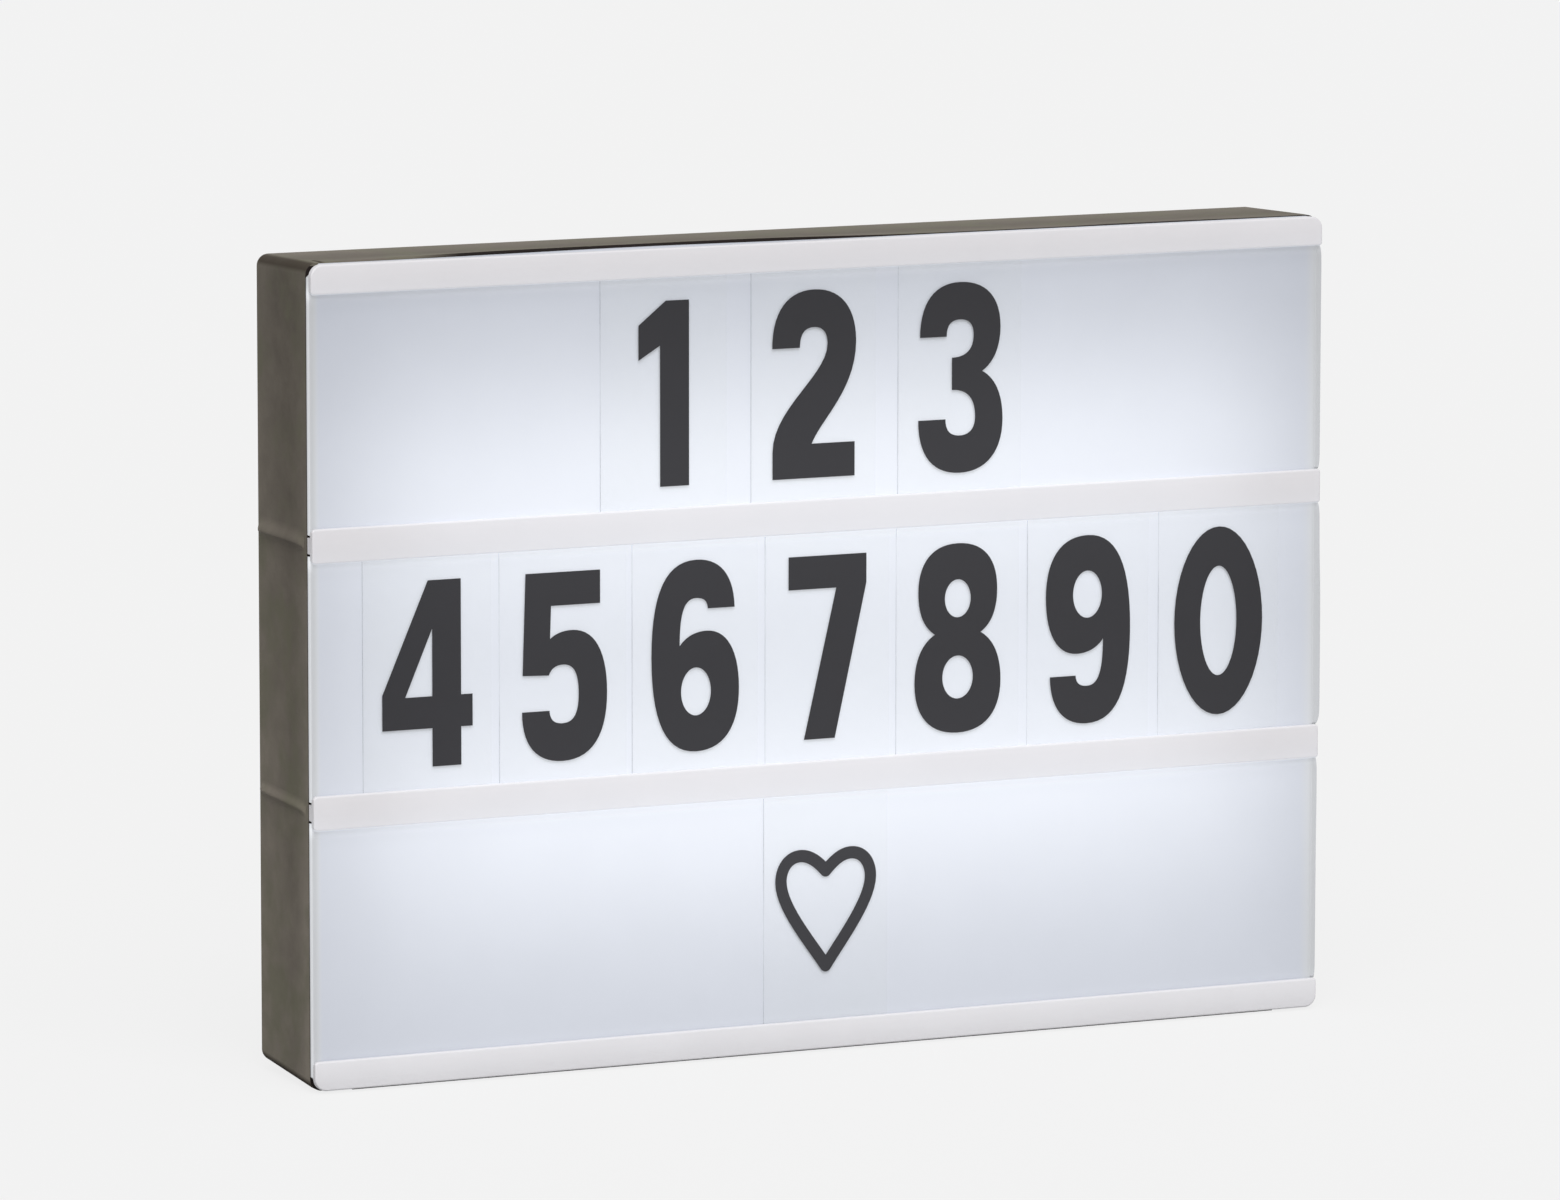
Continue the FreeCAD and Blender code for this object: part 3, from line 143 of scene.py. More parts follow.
# painted shade: the front 0.4 mm of the rim, against the panel, is painted dark for the shade of
# its gap, and the gap is 1.5 mm deep for a stretch near its right end
gap = add_node(black_abs, "ShaderNodeMath", {0: axes["X"], 1: -0.098}, operation="ADD")
gap = add_node(black_abs, "ShaderNodeMath", {0: gap}, operation="ABSOLUTE")
gap = add_node(black_abs, "ShaderNodeMapRange",
               {0: gap, 1: 0.012, 2: 0.024, 3: -0.0153, 4: -0.01645})
painted_gap_shade = add_node(black_abs, "ShaderNodeMath", {0: axes["Y"], 1: gap}, operation="LESS_THAN")
# but at the top's left end the panel lies close against the rim, and no gap shows
close = add_node(black_abs, "ShaderNodeMapRange", {0: axes["X"], 1: -0.12, 2: -0.106})
not_top = add_node(black_abs, "ShaderNodeMath", {0: axes["Z"], 1: 0.2206}, operation="LESS_THAN")
close = add_node(black_abs, "ShaderNodeMath", {0: close, 1: not_top},
                 operation="MAXIMUM")
painted_gap_shade = add_node(black_abs, "ShaderNodeMath", {0: painted_gap_shade, 1: close},
                operation="MULTIPLY")
body = add_node(black_abs, "ShaderNodeMix",
                {0: painted_gap_shade, 6: body.outputs[2], 7: linear("241F1D")}, data_type="RGBA")
bump = add_node(black_abs, "ShaderNodeBump", {"Height": grain, "Distance": 0.00002})
gloss = add_node(black_abs, "ShaderNodeMapRange", {0: mottle, 1: 0.3, 2: 0.7, 3: 0.56, 4: 0.7})
plug(black_abs, shader, {
    "Base Color": body.outputs[2], "Roughness": gloss, "Normal": bump,
    "IOR": 1.53, "Specular IOR Level": 0.04})
dress(black_abs, "rear_housing")


def smooth_mesh(name, places, faces):
    """A mesh from its points and faces, shaded smooth."""
    mesh = bpy.data.meshes.new(name)
    mesh.from_pydata(places, [], faces)
    mesh.shade_smooth()
    return mesh


def new_piece(name, mesh, material, body):
    """A finished piece of the object from its mesh."""
    mesh.materials.clear()
    mesh.materials.append(material)
    piece = bpy.data.objects.new(name, mesh)
    bpy.context.collection.objects.link(piece)
    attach(piece, body)
    return piece


def closed_strip(name, front, behind, material):
    """A strip between two grids of points in millimetres, the front one and the one behind it,
    closed round their border with one band of faces."""
    rows, columns = front.shape[:2]
    index = np.arange(rows * columns).reshape(rows, columns)
    quads = np.stack([index[:-1, :-1], index[1:, :-1], index[1:, 1:], index[:-1, 1:]], axis=-1)
    quads = quads.reshape(-1, 4)
    border = np.concatenate([index[:-1, 0], index[-1, :-1], index[:0:-1, -1], index[0, :0:-1]])
    after = np.roll(border, -1)
    back = rows * columns
    faces = np.concatenate([quads[:, ::-1], quads + back,
                            np.stack([border, after, after + back, border + back], axis=-1)])
    places = np.concatenate([front.reshape(-1, 3), behind.reshape(-1, 3)]) * 0.001
    new_piece(name, smooth_mesh(name, places, faces.tolist()), material, "box")


# the tray's walls draw in toward the back, from 3 mm behind their front edge, in millimetres
LEFT_WALL, TOP_WALL = -150, 221.4
LEFT_DRAFT, TOP_DRAFT = 0.6, 1.1
DRAFT_START, DRAFT_RUN = -13.85, 34.1
# a strip's border lies this deep under the surface that it rises from
SUNK = 0.02


def drawn_in(y, whole):
    """How far a wall has drawn in at y: nothing up to the draft's start, and from there in
    proportion to the distance, up to the whole draft at the back."""
    return whole * np.maximum(y - DRAFT_START, 0) / DRAFT_RUN


def wall_crease(name, back, front, proud, reach):
    """A crease along the left wall from height back to height front, where it bends down by
    0.8 mm. It stands proud (0.75 + 0.35 t) mm off the wall, with t from 0 at the front to 1 at
    the back, and falls as exp(-(d / w)^2), with w = reach above the crest and 1 mm below it.
    It fades at both ends. Its strip is 33.5 mm long, reaches 7 mm above and below the crest,
    and is buried 1 mm in the wall behind it."""
    along = np.linspace(0, 1, 60)[:, None]
    across = 7 * np.linspace(-1, 1, 65)[None, :] ** 3
    y = -14.6 + 33.5 * along
    wall = LEFT_WALL + drawn_in(y, LEFT_DRAFT)
    crest = front + (back - front) * along - 0.8 * np.exp(-along / 0.04)
    fade = (1 - np.exp(-along / 0.03)) * (1 - along ** 16) * (0.75 + 0.35 * along)
    width = np.where(across > 0, reach, 1.0)
    off = proud * np.exp(-(across / width) ** 2) * fade - SUNK
    z = crest + across
    closed_strip(name, np.stack([wall - off, y + 0 * z, z], axis=-1),
                 np.stack([wall + 1 + 0 * z, y + 0 * z, z], axis=-1), black_abs)


wall_crease("upper_wall_crease", 146.8, 146.9, 1.5, 1.9)
wall_crease("lower_wall_crease", 76.7, 75.8, 1.2, 1.3)

# the top of the rim bows up by 0.9 exp(-((x + 58) / 68)^4) mm, and fades into the top behind it
along = np.linspace(-146, 60, 104)[:, None]
across = np.linspace(0, 1, 9)[None, :]
y = -16.87 + 11 * across + 0 * along
top = TOP_WALL - drawn_in(y, TOP_DRAFT) - SUNK
rise = 0.9 * np.exp(-((along + 58) / 68) ** 4) * (1 - across ** 2 * (3 - 2 * across))
closed_strip("bowed_rim", np.stack([along + 0 * y, y, top - 0.5], axis=-1),
             np.stack([along + 0 * y, y, top + rise], axis=-1), black_abs)


# ------------------------------------------------------------------ front panel
# One moulding of opal polystyrene, milky all through, with two rows of lamps 14 mm behind it.
# It glows most along the two rows and fades to its ends. The 2 mm that cover the housing's
# wall get less light from behind, and some of it runs along the sheet and leaves by its edges.

LAMP_ROWS = ((0.0698, 1.0), (0.1573, 1.107))     # the height and the strength of each
ROW_END, END_FADE, ROW_FADE, FADE_POWER = 0.1359, 0.0227, 0.0582, -1.967


def lamp_glow(material, place):
    """How strongly the lamps shine through at a place: 0 far off, about 1 over a row.

    Along x it is (atan((x + 136) / 23) - atan((x - 136) / 23)) / pi, and across z the sum over
    the two rows of their strength times (1 + ((z - height) / 58)^2)^-1.97, in millimetres.
    """
    axes = add_node(material, "ShaderNodeSeparateXYZ", {0: place}).outputs
    ends = []
    for end in (ROW_END, -ROW_END):
        share = add_node(material, "ShaderNodeMath",
                         {0: axes["X"], 1: 1 / END_FADE, 2: end / END_FADE},
                         operation="MULTIPLY_ADD")
        ends.append(add_node(material, "ShaderNodeMath", {0: share}, operation="ARCTANGENT"))
    along = add_node(material, "ShaderNodeMath", {0: ends[0], 1: ends[1]}, operation="SUBTRACT")
    rows = []
    for height, strength in LAMP_ROWS:
        away = add_node(material, "ShaderNodeMath",
                        {0: axes["Z"], 1: 1 / ROW_FADE, 2: -height / ROW_FADE},
                        operation="MULTIPLY_ADD")
        spread = add_node(material, "ShaderNodeMath", {0: away, 1: away, 2: 1.0},
                          operation="MULTIPLY_ADD")
        spread = add_node(material, "ShaderNodeMath", {0: spread, 1: FADE_POWER},
                          operation="POWER")
        rows.append(add_node(material, "ShaderNodeMath", {0: spread, 1: strength / np.pi},
                             operation="MULTIPLY"))
    across = add_node(material, "ShaderNodeMath", {0: rows[0], 1: rows[1]}, operation="ADD")
    return add_node(material, "ShaderNodeMath", {0: along, 1: across}, operation="MULTIPLY")


opal, shader, place = start_finish("opal_polystyrene")
axes = add_node(opal, "ShaderNodeSeparateXYZ", {0: place}).outputs
glow = lamp_glow(opal, place)
# the lower part also takes a little light from the white sheet behind it
level = add_node(opal, "ShaderNodeMapRange", {0: axes["Z"], 1: 0.0, 2: 0.21, 3: 0.1, 4: 0.015})
light = add_node(opal, "ShaderNodeMath", {0: glow, 1: 0.402, 2: level},
                 operation="MULTIPLY_ADD")
out = add_node(opal, "ShaderNodeMath", {0: axes["X"]}, operation="ABSOLUTE")
open_part = add_node(opal, "ShaderNodeMapRange", {0: out, 1: 0.1494, 2: 0.1476, 3: 0.5, 4: 1.0},
                     interpolation_type="SMOOTHSTEP")
facing = add_node(opal, "ShaderNodeTexCoord").outputs["Normal"]
facing = add_node(opal, "ShaderNodeSeparateXYZ", {0: facing}).outputs
edge = add_node(opal, "ShaderNodeMath", {0: facing["X"]}, operation="ABSOLUTE")
edge = add_node(opal, "ShaderNodeMapRange", {0: edge, 1: 0.5, 2: 0.95, 3: 0.0, 4: 0.26})
clear_of_seam = add_node(opal, "ShaderNodeMapRange", {0: axes["Y"], 1: -0.0168, 2: -0.0176})
edge = add_node(opal, "ShaderNodeMath", {0: edge, 1: clear_of_seam},
                operation="MULTIPLY")
light = add_node(opal, "ShaderNodeMath",
                 {0: light, 1: open_part, 2: edge},
                 operation="MULTIPLY_ADD")
# light that leaves the sheet close to a rail's edge fills the rail's thin shadow: it falls as
# exp(-(d / 1.9 mm)^2) with the distance d from the edge, and has a strength in the middle and
# one toward the ends
for height, middle, ends in ((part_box("bottom_rail")[1][2], 0.02, 0.02),
                             (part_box("lower_middle_rail")[0][2], 0.185, 0.18),
                             (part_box("upper_middle_rail")[0][2], 0.21, 0.2),
                             (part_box("top_rail")[0][2], 0.25, 0.205)):
    strength = add_node(opal, "ShaderNodeMapRange", {0: out, 1: 0.03, 2: 0.11, 3: middle, 4: ends})
    fall = add_node(opal, "ShaderNodeMath", {0: axes["Z"], 1: height}, operation="SUBTRACT")
    fall = add_node(opal, "ShaderNodeMath", {0: fall, 1: 1 / 0.0019}, operation="MULTIPLY")
    fall = add_node(opal, "ShaderNodeMath", {0: fall, 1: fall}, operation="MULTIPLY")
    fall = add_node(opal, "ShaderNodeMath", {0: fall, 1: -1.0}, operation="MULTIPLY")
    fall = add_node(opal, "ShaderNodeMath", {0: fall}, operation="EXPONENT")
    light = add_node(opal, "ShaderNodeMath", {0: fall, 1: strength, 2: light},
                     operation="MULTIPLY_ADD")
# flow marks of the moulding, some 20 mm across, show as the faintest cloud
cloud = add_node(opal, "ShaderNodeTexNoise",
                 {"Vector": place, "Scale": 1 / 0.02, "Detail": 3.0, "Roughness": 0.5})
milk = add_node(opal, "ShaderNodeMapRange", {0: cloud, 1: 0.3, 2: 0.7})
milk = add_node(opal, "ShaderNodeMix", {0: milk, 6: linear("B4B8C2"), 7: linear("B6BAC4")},
                data_type="RGBA")
# painted shade: over the housing's wall, where no light comes from behind, the milk is painted
# less blue
rims = [add_node(opal, "ShaderNodeMapRange", {0: axes["X"], 1: inner, 2: outer},
                 interpolation_type="SMOOTHSTEP")
        for inner, outer in ((0.1448, 0.149), (-0.147, -0.1488))]
rim = add_node(opal, "ShaderNodeMath", {0: rims[0], 1: rims[1]},
               operation="MAXIMUM")
milk = add_node(opal, "ShaderNodeMix", {0: rim, 6: milk.outputs[2], 7: linear("BBBDC0")},
                data_type="RGBA")
gloss = add_node(opal, "ShaderNodeMapRange", {0: cloud, 1: 0.3, 2: 0.7, 3: 0.34, 4: 0.4})
plug(opal, shader, {
    "Base Color": milk.outputs[2], "Roughness": gloss, "IOR": 1.59,
    "Emission Color": linear("F6F9FD"), "Emission Strength": light})
dress(opal, "front_panel")


def edge_flare(name, below, above, foot, head):
    """The panel's right edge between two rails, on a strip that begins 1.2 mm inside it. It
    stands out by head + (foot - head) / (1 + exp((u - 0.4) / 0.12)) mm, with u from -1 to 1
    between the rails, and that is faded by (1 - u^24) where it meets them."""
    low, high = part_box(below)[1][2] * 1000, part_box(above)[0][2] * 1000
    u = np.linspace(-1, 1, 121)[:, None]
    across = np.array([0, 0.3, 0.6, 0.8, 0.9, 0.96, 1])[None, :]
    proud = (head + (foot - head) / (1 + np.exp((u - 0.4) / 0.12))) * (1 - u ** 24)
    z = (low + high) / 2 + (high - low) / 2 * u + 0 * across
    x = 148.8 + (1.2 + proud) * across
    closed_strip(name, np.stack([x, -18.66 + 0 * z, z], axis=-1),
                 np.stack([x, -17 + 0 * z, z], axis=-1), opal)


edge_flare("lower_edge_flare", "bottom_rail", "lower_middle_rail", 0.33, 0.45)
edge_flare("middle_edge_flare", "lower_middle_rail", "upper_middle_rail", 1.1, 0.66)
edge_flare("upper_edge_flare", "upper_middle_rail", "top_rail", 0.52, 0.55)

# the panel's upper edge and the rail's top bow up by 0.37 exp(-((x + 56) / 45)^2) mm
PANEL_TOP = 221.2
along = np.linspace(-146, 60, 104)[:, None]
across = np.linspace(0, 1, 9)[None, :]
y = -19.6 + 2.72 * across + 0 * along
rise = 0.37 * np.exp(-((along + 56) / 45) ** 2) * across ** 2 * (3 - 2 * across)
closed_strip("bowed_panel_top", np.stack([along + 0 * y, y, PANEL_TOP - 0.3 + 0 * y], axis=-1),
             np.stack([along + 0 * y, y, PANEL_TOP - SUNK + rise], axis=-1), opal)


# ------------------------------------------------------------------ card rails
# Four extrusions of white PVC pegged to the panel, softly rounded and a little see-through.
# The two middle ones take up some of the lamps' glow, and all but the bottom one let in a
# little of the panel's light from below.

# painted light: the four rails' tone pairs differ a little, the bottom one lightest, for how each
# rail is lit
for rail, from_below, dark, pale in (
        ("bottom_rail", 0.0, "DAD9DC", "DFDEE1"), ("lower_middle_rail", 0.12, "D9D7DA", "DEDCDF"),
        ("upper_middle_rail", 0.1, "D8D6D9", "DDDBDE"), ("top_rail", 0.1, "D9D7DA", "DEDCDF")):
    low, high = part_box(rail)
    white_pvc, shader, place = start_finish(f"extruded_white_pvc_{rail}")
    axes = add_node(white_pvc, "ShaderNodeSeparateXYZ", {0: place}).outputs
    facing = add_node(white_pvc, "ShaderNodeTexCoord").outputs["Normal"]
    facing = add_node(white_pvc, "ShaderNodeSeparateXYZ", {0: facing}).outputs
    glow = lamp_glow(white_pvc, place)
    light = add_node(white_pvc, "ShaderNodeMapRange",
                     {0: glow, 1: 0.45, 2: 1.15, 3: 0.0, 4: 0.135},
                     interpolation_type="SMOOTHSTEP")
    # share is -1 at the rail's lower edge and 1 at its upper edge. Light from the panel enters
    # by the lower edge, as the square of (1 - share) / 2, and by the face under it
    half, middle = (high[2] - low[2]) / 2, (high[2] + low[2]) / 2
    share = add_node(white_pvc, "ShaderNodeMath", {0: axes["Z"], 1: 1 / half, 2: -middle / half},
                     operation="MULTIPLY_ADD")
    under = add_node(white_pvc, "ShaderNodeMath", {0: share, 1: -0.5, 2: 0.5},
                     operation="MULTIPLY_ADD")
    under = add_node(white_pvc, "ShaderNodeMath", {0: under, 1: 2.0}, operation="POWER")
    light = add_node(white_pvc, "ShaderNodeMath", {0: under, 1: from_below, 2: light},
                     operation="MULTIPLY_ADD")
    under = add_node(white_pvc, "ShaderNodeMapRange",
                     {0: facing["Z"], 1: -0.1, 2: -0.8, 3: 0.0, 4: from_below * 2.5})
    light = add_node(white_pvc, "ShaderNodeMath", {0: light, 1: under}, operation="ADD")
    # die lines run along x, so the noise is stretched there: 60 mm long and 0.8 mm high
    stretch = add_node(white_pvc, "ShaderNodeMapping",
                       {"Vector": place, "Scale": (1 / 0.06, 1 / 0.0008, 1 / 0.0008)})
    lines = add_node(white_pvc, "ShaderNodeTexNoise",
                     {"Vector": stretch, "Scale": 1.0, "Detail": 3.0})
    smear = add_node(white_pvc, "ShaderNodeTexNoise",
                     {"Vector": place, "Scale": 1 / 0.025, "Detail": 2.0})
    tone = add_node(white_pvc, "ShaderNodeMix",
                    {0: smear, 6: linear(dark), 7: linear(pale)}, data_type="RGBA")
    # painted shade: the upward-facing edges are painted darker, toning down their highlight
    dust_and_painted_shade = add_node(white_pvc, "ShaderNodeMapRange",
                    {0: facing["Z"], 1: 0.15, 2: 0.6, 3: 0.0, 4: 0.8})
    tone = add_node(white_pvc, "ShaderNodeMix",
                    {0: dust_and_painted_shade, 6: tone.outputs[2], 7: linear("C9C8CB")}, data_type="RGBA")
    gloss = add_node(white_pvc, "ShaderNodeMapRange", {0: smear, 1: 0.3, 2: 0.7, 3: 0.38, 4: 0.5})
    # the face is crowned by 0.25 mm: minus the square of the share of half the height
    crown = add_node(white_pvc, "ShaderNodeMath", {0: share, 1: 2.0}, operation="POWER")
    height = add_node(white_pvc, "ShaderNodeMath", {0: lines, 1: 0.04}, operation="MULTIPLY")
    height = add_node(white_pvc, "ShaderNodeMath", {0: height, 1: crown},
                      operation="SUBTRACT")
    bump = add_node(white_pvc, "ShaderNodeBump", {"Height": height, "Distance": 0.00025})
    plug(white_pvc, shader, {
        "Base Color": tone.outputs[2], "Roughness": gloss, "IOR": 1.53,
        "Normal": bump, "Emission Color": linear("E9F2FD"),
        "Emission Strength": light})
    dress(white_pvc, rail)


# ------------------------------------------------------------------ letter cards
# Sheets of clear PET, 0.35 mm thick, guillotined to 37 mm and slid into the rails' grooves. Face
# on they can hardly be seen. The cut on their left is rough and scatters the light, and the one
# on their right is clean.

clear_pet, shader, place = start_finish("clear_pet_sheet")
cards = [*[f"card_{i}" for i in range(1, 11)], "heart_card"]
way = add_node(clear_pet, "ShaderNodeTexCoord").outputs["Normal"]
turn = add_node(clear_pet, "ShaderNodeSeparateXYZ", {0: way})
turn = add_node(clear_pet, "ShaderNodeMath", {0: turn.outputs["X"]}, operation="ABSOLUTE")
turn = add_node(clear_pet, "ShaderNodeMath", {0: turn, 1: 0.5}, operation="GREATER_THAN")
axes = add_node(clear_pet, "ShaderNodeSeparateXYZ", {0: place}).outputs
# the rough cut is at the left end of each card
ends = [add_node(clear_pet, "ShaderNodeMath",
                 {0: axes["X"], 1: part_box(card)[0][0], 2: 0.0001}, operation="COMPARE")
        for card in cards]
cut = ends[0]
for end in ends[1:]:
    cut = add_node(clear_pet, "ShaderNodeMath", {0: cut, 1: end}, operation="MAXIMUM")
cut = add_node(clear_pet, "ShaderNodeMath", {0: cut, 1: turn}, operation="MULTIPLY")
haze = add_node(clear_pet, "ShaderNodeTexNoise",
                {"Vector": place, "Scale": 1 / 0.03, "Detail": 2.0})
cover = add_node(clear_pet, "ShaderNodeMapRange", {0: haze, 1: 0.3, 2: 0.7, 3: 0.01, 4: 0.022})
rough = add_node(clear_pet, "ShaderNodeMapRange", {0: haze, 1: 0.4, 2: 0.6, 3: 0.2, 4: 0.6})
cover = add_node(clear_pet, "ShaderNodeMix",
                 {0: cut, 2: cover, 3: rough}, data_type="FLOAT")
tint = add_node(clear_pet, "ShaderNodeMix",
                {0: cut, 6: linear("E6EBDA"), 7: linear("858C98")}, data_type="RGBA")
plug(clear_pet, shader, {
    "Base Color": tint.outputs[2], "Roughness": 0.12, "IOR": 1.57, "Alpha": cover})
dress(clear_pet, *cards)


# ------------------------------------------------------------------ prints
# Screen prints in black ink on the cards' fronts: plain condensed digits 50 mm tall and one
# heart drawn with a round pen. The ink lets a trace of the lamps through.

black_ink, shader, place = start_finish("black_screen_ink")
glow = lamp_glow(black_ink, place)
# the heart, the only print in the lowest row, has thinner ink
axes = add_node(black_ink, "ShaderNodeSeparateXYZ", {0: place}).outputs
thin = add_node(black_ink, "ShaderNodeMapRange",
                {0: axes["Z"], 1: 0.068, 2: 0.07, 3: 0.012, 4: 0.0})
leak = add_node(black_ink, "ShaderNodeMath", {0: glow, 1: 0.016, 2: thin},
                operation="MULTIPLY_ADD")
cloud = add_node(black_ink, "ShaderNodeTexNoise",
                 {"Vector": place, "Scale": 1 / 0.006, "Detail": 4.0})
tone = add_node(black_ink, "ShaderNodeMix",
                {0: cloud, 6: linear("18171C"), 7: linear("1D1C21")}, data_type="RGBA")
gloss = add_node(black_ink, "ShaderNodeMapRange", {0: cloud, 1: 0.3, 2: 0.7, 3: 0.55, 4: 0.65})
plug(black_ink, shader, {
    "Base Color": tone.outputs[2], "Roughness": gloss,
    "Emission Color": linear("F4F6FF"), "Emission Strength": leak})


def drawn(start, *pieces):
    """Points of a closed outline. A piece of one point is a straight edge, and one of three
    points is a cubic curve: (1-t)^3 a + 3(1-t)^2 t b + 3(1-t) t^2 c + t^3 d."""
    points = [np.array([start], float)]
    t = np.linspace(0, 1, 15)[1:, None]
    for piece in pieces:
        a, last = points[-1][-1], np.array(piece, float).reshape(-1, 2)
        if len(last) == 1:
            points.append(last)
        else:
            b, c, d = last
            points.append((1 - t) ** 3 * a + 3 * (1 - t) ** 2 * t * b
                          + 3 * (1 - t) * t ** 2 * c + t ** 3 * d)
    return np.concatenate(points)


def oval(x, z, wide, tall):
    """An outline round (x, z): x + wide cos a, z + tall sin a."""
    a = np.linspace(0, 2 * np.pi, 48, endpoint=False)
    return np.column_stack([x + wide * np.cos(a), z + tall * np.sin(a)])


six = drawn((11.6, 37.6), (11.4, 46.2, 7.4, 51, 0.4, 51), (-8.6, 51, -12.9, 43, -12.9, 25),
            (-12.9, 7.6, -8.6, -1, 0.2, -1), (8.6, -1, 12.9, 5.2, 12.9, 15.6),
            (12.9, 25.6, 9.4, 31.6, 3.4, 31.6), (0.2, 31.6, -2.8, 30.4, -4.6, 27.8),
            (-4.6, 36.4, -3.4, 40.6, 0.2, 40.6), (2.6, 40.6, 3.6, 39.6, 3.7, 37.6))
half_eight = drawn((0, 51), (7.8, 51, 11.9, 46.2, 11.9, 38), (11.9, 32.2, 10.2, 28.4, 6.9, 26.3),
                   (10.9, 24, 13, 19.4, 13, 13), (13, 4.2, 8.4, -1, 0, -1))
DIGITS = {
    "1": [np.array([(-1.1, 0), (7.4, 0), (7.4, 50), (0.6, 50), (-7.4, 43.6), (-7.4, 34.2),
                    (-1.1, 38)])],
    "2": [drawn((-12.2, 0), (12.2, 0), (12.2, 9.3), (-0.6, 9.3), (2.4, 16, 12.6, 23.4, 12.6, 36.6),
                (12.6, 45.6, 8, 51, 0.2, 51), (-7.8, 51, -12.3, 45.6, -12.3, 35.4), (-4.1, 35.4),
                (-4.1, 39, -2.8, 40.8, 0.1, 40.8), (2.9, 40.8, 4.1, 39, 4.1, 36.2),
                (4.1, 27.6, -12.2, 19.4, -12.2, 7.4))],
    "3": [drawn((-12, 36.3), (-12, 46, -7.6, 51, 0, 51), (8, 51, 12.2, 46.2, 12.2, 38.4),
                (12.2, 32.6, 10, 28.5, 6.7, 26.5), (10.7, 24.4, 12.9, 19.8, 12.9, 13.2),
                (12.9, 4.4, 8.2, -1, 0, -1), (-7.9, -1, -12.5, 4, -12.5, 13.8), (-4.3, 13.8),
                (-4.3, 10.8, -3, 9.2, 0, 9.2), (3, 9.2, 4.6, 11, 4.6, 14.2),
                (4.6, 18.8, 2.6, 21.7, -2.4, 21.7), (-2.4, 30.5),
                (2.2, 30.5, 4.1, 32.8, 4.1, 36.6), (4.1, 39.2, 2.9, 40.8, 0, 40.8),
                (-2.8, 40.8, -4, 39.3, -4, 36.3))],
    "4": [np.array([(1.4, 0), (9.7, 0), (9.7, 10.3), (13, 10.3), (13, 18.9), (9.7, 18.9),
                    (9.7, 50), (0.2, 50), (-13, 19.8), (-13, 10.3), (1.4, 10.3)]),
          np.array([(1.4, 18.9), (1.4, 37), (-6.4, 18.9)])],
    "5": [drawn((-10.9, 50), (-11.8, 22.6), (-4.2, 22.3), (-3.4, 24.3, -2, 25, 0, 25),
                (3.2, 25, 4.5, 22.4, 4.5, 17), (4.5, 11.8, 3.2, 9.2, -0.2, 9.2),
                (-2.7, 9.2, -3.9, 10.4, -4, 12.8), (-12, 12.8), (-12, 3.8, -7.8, -1, -0.2, -1),
                (8.2, -1, 12.8, 5, 12.8, 17), (12.8, 27.8, 9.2, 34.2, 2.6, 34.2),
                (0, 34.2, -2.2, 33.5, -3.8, 32.1), (-3.5, 41), (10.8, 41), (10.8, 50))],
    "6": [six, oval(0.2, 15.3, 4.4, 6.5)],
    "7": [np.array([(-11.6, 50), (-11.6, 41), (2.6, 41), (-7, 0), (2.2, 0), (11.6, 42),
                    (11.6, 50)])],
    "8": [np.concatenate([half_eight, half_eight[-2:0:-1] * (-1, 1)]),
          oval(0, 35.9, 3.9, 5.2), oval(0, 14.3, 4.6, 5.9)],
    "9": [(0, 50) - six, oval(-0.2, 34.7, 4.4, 6.5)],
    "0": [oval(0, 25, 13.6, 26.1), oval(0, 25, 5.6, 15.2)],
}


def heart_outlines():
    """A pen 3.4 mm wide drawn round a heart: the line's middle is moved half the width along
    its own normal, up to where it meets x = 0. The pen's round nib closes the other end."""
    line = drawn((0, 49.6), (2.5, 52.3, 4.8, 54.05, 7.6, 54.05),
                 (11, 54.05, 13.4, 51.2, 13.4, 47.3), (13.4, 40.6, 5.2, 31, 0, 23.5))
    along = np.gradient(line, axis=0)
    normal = np.column_stack([-along[:, 1], along[:, 0]]) / np.linalg.norm(along, axis=1)[:, None]
    outlines = []
    for half in (1.7, -1.7):
        side = line + normal * half
        if half < 0:
            side, line = side[::-1], line[::-1]
        # side now starts where it meets x = 0 and ends at the nib
        inside = np.flatnonzero(side[:, 0] > 0)[0]
        a, b = side[inside - 1], side[inside]
        tip = a + (b - a) * a[0] / (a[0] - b[0])
        first = np.arctan2(*(side[-1] - line[-1])[::-1])
        turn = first + (-np.pi / 2 - first) * np.linspace(0, 1, 8)[1:]
        nib = line[-1] + 1.7 * np.column_stack([np.cos(turn), np.sin(turn)])
        right = np.concatenate([[tip], side[inside:], nib])
        outlines.append(np.concatenate([right, right[-2:0:-1] * (-1, 1)]))
    return outlines


HALF_INK, INK_GAP = 0.00002, 0.000005


def ink_print(name, outlines, body, x, z, front):
    """Ink 0.04 mm thick: the outlines filled as a flat curve, made a mesh and stood on a card."""
    flat = bpy.data.curves.new(name, "CURVE")
    flat.dimensions, flat.fill_mode, flat.extrude = "2D", "BOTH", HALF_INK
    for outline in outlines:
        spline = flat.splines.new("POLY")
        spline.points.add(len(outline) - 1)
        places = np.zeros((len(outline), 4))
        places[:, :2] = outline * 0.001
        spline.points.foreach_set("co", places.ravel())
        spline.use_cyclic_u = True
    holder = bpy.data.objects.new(f"{name}_flat", flat)
    mesh = bpy.data.meshes.new_from_object(holder)
    places = np.empty(len(mesh.vertices) * 3)
    mesh.vertices.foreach_get("co", places)
    across, up, deep = places.reshape(-1, 3).T
    y = front - (HALF_INK + INK_GAP) - deep
    mesh.vertices.foreach_set("co", np.column_stack([x + across, y, z + up]).ravel())
    bpy.data.objects.remove(holder)
    bpy.data.curves.remove(flat)
    mesh.update()
    new_piece(name, mesh, black_ink, body)


